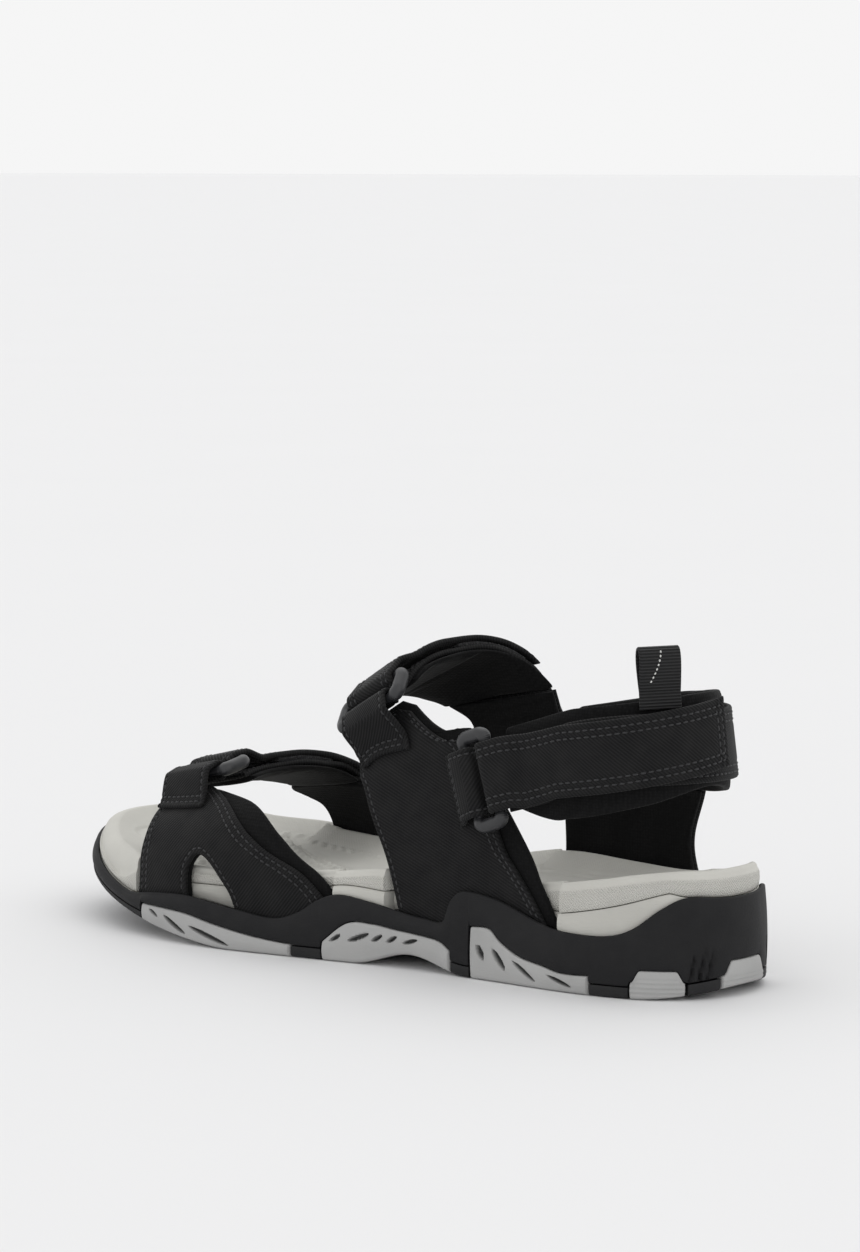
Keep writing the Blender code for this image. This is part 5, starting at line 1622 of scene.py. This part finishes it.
class SANDAL_OT_vamps(bpy.types.Operator):
    """Makes the two windowed panels that hold the forefoot strap, with their linings."""

    bl_idname = "sandal.vamps"
    bl_label = "Vamps"

    def execute(self, context):
        for word, side, edges in (("lateral", 1, VAMP_LATERAL), ("medial", -1, VAMP_MEDIAL)):
            name = f"vamp_{word}"
            add_panel(name + "_outer", edges["window"], edges["outer"], side, OUTER, "twill", EDGE_ROWS, True)
            add_panel(name + "_lining", edges["window"], edges["lining"], side, LINING, "lining", (), True)
        return {"FINISHED"}


class SANDAL_OT_quarters(bpy.types.Operator):
    """Makes the quarters, which rise from the cup to the instep ring and the collar, and the heel panel."""

    bl_idname = "sandal.quarters"
    bl_label = "Quarters and heel panel"

    def execute(self, context):
        add_panel("quarter_lateral_outer", *QUARTER_LATERAL["outer"], 1, OUTER, "twill", EDGE_ROWS)
        add_panel("quarter_lateral_lining", *QUARTER_LATERAL["lining"], 1, LINING, "lining")
        add_panel("quarter_medial_outer", *QUARTER_MEDIAL, -1, OUTER, "twill", EDGE_ROWS)
        add_panel("quarter_medial_lining", *QUARTER_MEDIAL, -1, LINING, "lining")
        add_panel("heel_panel_outer", *HEEL_PANEL, -1, OUTER, "twill", EDGE_ROWS)
        add_panel("heel_panel_lining", *HEEL_PANEL, -1, LINING, "lining")
        return {"FINISHED"}


def make_strap(name, front, rear, flap_end, away, tab_to, sewn_to):
    """The base, pad, patches, flap, ring and tab of a strap that crosses the last."""
    frame_of = strap_frame(crossing_surface, front, rear, BAR_LIFT, away)
    flap_body, ring_body = f"{name}_flap_body", f"{name}_ring_body"
    base_front, base_rear = front[:-1] + sewn_to["base"][:1], rear[:-1] + sewn_to["base"][1:]
    base = strap_grid(crossing_surface, base_front, base_rear, OUTER[0], rise=(0.72, 0.86, 1.95))
    add_cloth(
        f"{name}_strap_base_cloth", base, OUTER[1], material("twill"), STRAP_ROWS, ROOT,
        (f"{name}_strap_base",)
    )
    pad_front, pad_rear = front[:-1] + sewn_to["pad"][:1], rear[:-1] + sewn_to["pad"][1:]
    pad_front = ((pad_front[0][0] + 1.2, pad_front[0][1] + 4), *((x + 1.2, a) for x, a in pad_front[1:]))
    pad_rear = ((pad_rear[0][0] - 1.2, pad_rear[0][1] + 4), *((x - 1.2, a) for x, a in pad_rear[1:]))
    pad = pad_shape(crossing_surface, pad_front, pad_rear, -0.1, 1.8)
    inflate(f"{name}_pad", pad, 0.5, material("lining"), f"{name}_strap_pad")
    tape_front = tuple((x - 2, a) for x, a in between(front, 0.38, 0.84))
    tape_rear = tuple((x + 2, a) for x, a in between(rear, 0.38, 0.84))
    for word, layer, body in (("loop", LOOP_PATCH, ROOT), ("hook", HOOK_PATCH, flap_body)):
        node = f"{name}_{word}_patch"
        grid = strap_grid(crossing_surface, tape_front, tape_rear, layer[0])
        cloth = Cloth(grid, layer[1], 0.4)
        make_piece(
            node + "_tape", cloth.points(), cloth.quads(), material(word), body, (node,),
            uv=cloth.uv()
        )
    flap_front, flap_rear = between(front, 0.1, 0.8) + flap_end[:1], between(rear, 0.1, 0.8) + flap_end[1:]
    span = span_grid(crossing_surface, flap_front, flap_rear, FLAP[0], STRAP_WIDTH)
    grid = flap_grid(frame_of, span, STRAP_WIDTH)
    rows = STRAP_ROWS + (("end", 2.3), ("end", 4.6))
    add_cloth(f"{name}_flap_cloth", grid, FLAP[1], material("twill"), rows, flap_body, (f"{name}_flap",))
    add_ring(f"{name}_ring", frame_of, ring_body)
    add_tab(f"{name}_ring_tab", frame_of, crossing_surface, (front[0], tab_to[0]), (rear[0], tab_to[1]))


class SANDAL_OT_forefoot_strap(bpy.types.Operator):
    """Makes the forefoot strap: base, pad, tapes, flap, ring and tab."""

    bl_idname = "sandal.forefoot_strap"
    bl_label = "Forefoot strap"

    def execute(self, context):
        make_strap(
            "forefoot", FOREFOOT_FRONT, FOREFOOT_REAR, FOREFOOT_FLAP_END, (0, -1.0, 0),
            ((231, 15), (207, 15)), FOREFOOT_SEWN
        )
        return {"FINISHED"}


class SANDAL_OT_instep_strap(bpy.types.Operator):
    """Makes the instep strap: base, pad, tapes, flap, ring and tab."""

    bl_idname = "sandal.instep_strap"
    bl_label = "Instep strap"

    def execute(self, context):
        make_strap(
            "instep", INSTEP_FRONT, INSTEP_REAR, INSTEP_FLAP_END, (0, -1.0, 0.3), ((129, 10), (110, 10)),
            INSTEP_SEWN
        )
        return {"FINISHED"}


class SANDAL_OT_collar(bpy.types.Operator):
    """Makes the padded collar round the heel."""

    bl_idname = "sandal.collar"
    bl_label = "Collar"

    def execute(self, context):
        rows = np.linspace(0, 1, 110)
        low, high = catmull(COLLAR_LOW, rows), catmull(COLLAR_HIGH, rows)
        turn = np.linspace(0, 2 * math.pi, 60, endpoint=False)
        depth = 0.3 + (COLLAR_THICKNESS - 0.7) * (
            0.5 - 0.5 * np.sign(np.cos(turn)) * np.abs(np.cos(turn)) ** 0.5
        )
        height = 0.5 + 0.488 * np.sign(np.sin(turn)) * np.abs(np.sin(turn)) ** 0.7
        place = low[:, None, 0] * (1 - height) + high[:, None, 0] * height
        z = low[:, None, 1] * (1 - height) + high[:, None, 1] * height
        sections = heel_surface(place, z, np.broadcast_to(depth, z.shape))
        sections = np.concatenate([sections, sections[:, :1]], 1)
        ends = [np.broadcast_to(row.mean(0), row.shape)[None] for row in (sections[0], sections[-1])]
        grid = np.concatenate([ends[0], sections, ends[1]])
        inflate("collar_pad", grid, 0.5, material("lining"), "heel_collar")
        return {"FINISHED"}


class SANDAL_OT_heel_strap(bpy.types.Operator):
    """Makes the heel strap: base round the heel, tapes, flap, ring and tab."""

    bl_idname = "sandal.heel_strap"
    bl_label = "Heel strap"

    def execute(self, context):
        frame_of = strap_frame(heel_surface, HEEL_LOW, HEEL_HIGH, HEEL_BAR_LIFT, (-1.0, 0, 0))
        base_low, base_high = HEEL_LOW[:3] + ((2.0, 66), (2.5, 64)), HEEL_HIGH[:3] + ((2.0, 90), (2.5, 86))
        lift, thickness = HEEL_STACK["base"]
        base = strap_grid(heel_surface, base_low, base_high, lift)
        add_cloth(
            "heel_strap_base_cloth", base, thickness, material("twill"), STRAP_ROWS, ROOT,
            ("heel_strap_base",)
        )
        tape_low = tuple((a, z + 2) for a, z in between(HEEL_LOW, 0.45, 0.95))
        tape_high = tuple((a, z - 2) for a, z in between(HEEL_HIGH, 0.45, 0.95))
        for word, body in (("loop", ROOT), ("hook", "heel_flap_body")):
            node, (lift, thickness) = f"heel_{word}_patch", HEEL_STACK[word]
            cloth = Cloth(strap_grid(heel_surface, tape_low, tape_high, lift), thickness, 0.4)
            make_piece(
                node + "_tape", cloth.points(), cloth.quads(), material(word), body, (node,),
                uv=cloth.uv()
            )
        flap_low = tuple(map(tuple, catmull(HEEL_LOW, np.linspace(0.1, 1, 7))))
        flap_high = tuple(map(tuple, catmull(HEEL_HIGH, np.linspace(0.1, 1, 7))))
        lift, thickness = HEEL_STACK["flap"]
        grid = flap_grid(
            frame_of, span_grid(heel_surface, flap_low, flap_high, lift, STRAP_WIDTH), STRAP_WIDTH
        )
        rows = (("first", 2.6), ("first", 4.9), ("second", 2.6), ("second", 4.9), ("end", 2.6), ("end", 4.9))
        add_cloth(
            "heel_flap_cloth", grid, thickness, material("twill"), rows, "heel_flap_body", ("heel_flap",)
        )
        add_ring("heel_ring", frame_of, "heel_ring_body")
        tab_low = ((71.6, 57.5), (71.6 + 37.8, 57.5 - 13.1))
        tab_high = ((79.7, 80.5), (79.7 + 37.8, 80.5 - 13.1))
        add_tab("heel_ring_tab", frame_of, lateral_surface, tab_low, tab_high)
        return {"FINISHED"}


class SANDAL_OT_pull_tab(bpy.types.Operator):
    """Makes the loop of ribbed webbing above the collar and the root that holds it."""

    bl_idname = "sandal.pull_tab"
    bl_label = "Pull tab"

    def execute(self, context):
        place, foot = 1.31, 97.9
        low, high = one(heel_surface, place, foot - 4.0, 0), one(heel_surface, place, foot, 0)
        outward = one(heel_surface, place, foot, 1.0) - high
        up = (high - low) / np.linalg.norm(high - low)
        along, half = np.cross(outward, up), 0.5 * TAB_WIDTH
        lift = COLLAR_THICKNESS + 0.4 + 0.5 * WEBBING
        across = (spaced(TAB_WIDTH, 0.5, 0.4, 0.8) - 0.5) * TAB_WIDTH
        rise = np.linspace(-4.0, 2.1, 24)
        root = high + outward * lift + rise[:, None, None] * up + across[None, :, None] * along
        cloth = Cloth(root, WEBBING, 0.5, wave=0)
        make_piece(
            "pull_tab_root_webbing", cloth.points(), cloth.quads(), material("webbing"), ROOT, (
                "pull_tab_root",
            ),
            uv=cloth.uv()[:, ::-1],
        )
        foot_point = high + outward * lift + up * 1.2
        turns = np.linspace(0, 2 * math.pi, 220, endpoint=False)

        def outline(offset):
            """The loop's side view: a drop that is widest above its middle."""
            width = (TAB_HALF_GAP - offset) * np.sin(turns) * (0.62 - 0.38 * np.cos(turns))
            return np.column_stack([width, offset + (TAB_HEIGHT - 2 * offset) * (0.5 - 0.5 * np.cos(turns))])

        outer = outline(0.0)
        run = np.concatenate([[0], np.cumsum(np.linalg.norm(np.diff(outer, axis=0), axis=1))])
        rib = 0.11 * (0.5 - 0.5 * np.cos(run * 2 * math.pi / 1.05))
        inner = outline(WEBBING)
        skin = outer + (inner - outer) * (rib / WEBBING)[:, None]
        away = spaced(TAB_WIDTH, 0.5, 0.4, 0.8) * TAB_WIDTH
        near = np.clip(np.minimum(away, TAB_WIDTH - away) / 0.5, 0, 1)
        round_off = (1 - np.sqrt(1 - (1 - near) ** 2))[:, None, None] * 0.5
        outside = skin[None] * (1 - round_off) + inner[None] * round_off
        inside = inner[None] * (1 - round_off) + skin[None] * round_off
        shapes = np.concatenate([outside, inside[::-1], outside[:1]])
        places = np.concatenate([away, away[::-1], away[:1]]) - half
        grid = foot_point + shapes[..., :1] * outward + shapes[..., 1:] * up + places[:, None, None] * along
        grid = np.concatenate([grid, grid[:, :1]], 1)
        uv = grid_uv(grid)
        quads = grid_quads(*grid.shape[:2])
        make_piece(
            "pull_tab_webbing", grid.reshape(-1, 3), quads, material("webbing"), "pull_tab_body", (
                "pull_tab_loop",
            ),
            uv=uv,
        )
        share = np.linspace(0, 1, 40)
        height = TAB_HEIGHT - 1.2 - share * (TAB_HEIGHT - 3.5)
        swing = 4.5 * share**1.6 - 0.3
        cosine = 1 - 2 * height / TAB_HEIGHT
        width = TAB_HALF_GAP * np.sqrt(1 - cosine**2) * (0.62 - 0.38 * cosine)
        line = foot_point + width[:, None] * outward + height[:, None] * up + swing[:, None] * along
        STITCHES.setdefault(("pull_tab_body", "white_thread"), []).append(
            (line, np.broadcast_to(outward, line.shape))
        )
        return {"FINISHED"}


class SANDAL_OT_stitching(bpy.types.Operator):
    """Sews every stitch line that the cloth pieces have left."""

    bl_idname = "sandal.stitching"
    bl_label = "Stitching"

    def execute(self, context):
        pitch = settings().stitch / MM
        for (body, kind), lines in STITCHES.items():
            name = "stitches_" + (body if kind == "thread" else "pull_tab")
            size = (pitch, 0.78 * pitch, 0.36) if kind == "thread" else (1.5, 0.9, 0.3)
            add_stitching(name, body, lines, material(kind), *size)
        return {"FINISHED"}


# ---------------------------------------------------------------- stage sizes, in metres and degrees
FLOOR_HALF, FLOOR_COLOUR, WORLD_STRENGTH = 60.0, (0.81, 0.81, 0.815), 0.92
LIGHTS = (
    ("key", (0.45, -0.6, 1.7), 60.0, 0.42),
    ("fill", (-1.6, 0.7, 1.2), 50.0, 0.12),
)
VIEW_FROM, VIEW_LENS, VIEW_HEADING, VIEW_DOWN = (-802.0, 1129.8, 273.35), 122.43, -50.291, 6.253


class SANDAL_OT_stage(bpy.types.Operator):
    """Lays a plain pale floor, hangs soft studio lights and sets the camera."""

    bl_idname = "sandal.stage"
    bl_label = "Stage"

    def execute(self, context):
        scene = context.scene
        scene.view_settings.view_transform = "Standard"
        made, tree, shader, _, place = finish("floor_finish", 0.85, specular=0.1)
        grain = placed(tree, "grain", place, Fineness=120.0)
        shade(tree, shader, FLOOR_COLOUR, times(FLOOR_COLOUR, 1.015), grain["Cloud"])
        share = np.linspace(-FLOOR_HALF, FLOOR_HALF, 9)
        x, y = np.meshgrid(share, share, indexing="ij")
        points = np.stack([x, y, np.full(x.shape, -0.15 * MM)], -1).reshape(-1, 3)
        mesh = bpy.data.meshes.new("floor")
        mesh.from_pydata(points.tolist(), [], grid_quads(9, 9)[:, ::-1].tolist())
        mesh.update()
        floor = bpy.data.objects.new("floor", mesh)
        if mesh.polygons[0].normal.z < 0:
            mesh.flip_normals()
        mesh.materials.append(made)
        scene.collection.objects.link(floor)
        world = bpy.data.worlds.new("studio")
        world.use_nodes = True
        back = world.node_tree.nodes["Background"]
        back.inputs["Color"].default_value = (1, 1, 1, 1)
        back.inputs["Strength"].default_value = WORLD_STRENGTH
        scene.world = world
        for name, spot, softness, power in LIGHTS:
            data = bpy.data.lights.new(name, "SUN")
            data.angle, data.energy = math.radians(softness), power
            light = bpy.data.objects.new(name, data)
            light.location = spot
            aim = Vector((0, 0, 0.04)) - Vector(spot)
            light.rotation_euler = aim.to_track_quat("-Z", "Y").to_euler()
            scene.collection.objects.link(light)
        lens = bpy.data.cameras.new("camera")
        lens.sensor_width, lens.sensor_fit, lens.lens = 36, "AUTO", VIEW_LENS
        camera = bpy.data.objects.new("camera", lens)
        camera.location = to_world(VIEW_FROM)
        heading, down = math.radians(VIEW_HEADING), math.radians(VIEW_DOWN)
        aim = Vector(
            (math.cos(heading) * math.cos(down), math.sin(heading) * math.cos(down), -math.sin(down))
        )
        camera.rotation_euler = aim.to_track_quat("-Z", "Y").to_euler()
        scene.collection.objects.link(camera)
        scene.camera = camera
        return {"FINISHED"}


OPERATORS = (
    SANDAL_OT_cup_sole, SANDAL_OT_footbed, SANDAL_OT_pods, SANDAL_OT_vamps, SANDAL_OT_quarters,
    SANDAL_OT_forefoot_strap, SANDAL_OT_instep_strap, SANDAL_OT_collar, SANDAL_OT_heel_strap,
    SANDAL_OT_pull_tab,
    SANDAL_OT_stitching, SANDAL_OT_stage,
)


class SANDAL_PT_panel(bpy.types.Panel):
    """Lists the sandal's settings and operators."""

    bl_idname = "SANDAL_PT_panel"
    bl_label = "Sport sandal"
    bl_space_type = "VIEW_3D"
    bl_region_type = "UI"
    bl_category = "Sandal"

    def draw(self, context):
        for name in SandalSettings.__annotations__:
            self.layout.prop(context.scene.sandal, name)
        for operator in OPERATORS:
            self.layout.operator(operator.bl_idname)


CLASSES = (SandalSettings, *OPERATORS, SANDAL_PT_panel)


def register():
    for made in CLASSES:
        bpy.utils.register_class(made)
    bpy.types.Scene.sandal = bpy.props.PointerProperty(type=SandalSettings)


def unregister():
    del bpy.types.Scene.sandal
    for made in reversed(CLASSES):
        bpy.utils.unregister_class(made)


def main():
    register()
    for operator in OPERATORS:
        group_name, call = operator.bl_idname.split(".")
        getattr(getattr(bpy.ops, group_name), call)()


if __name__ == "__main__":
    main()
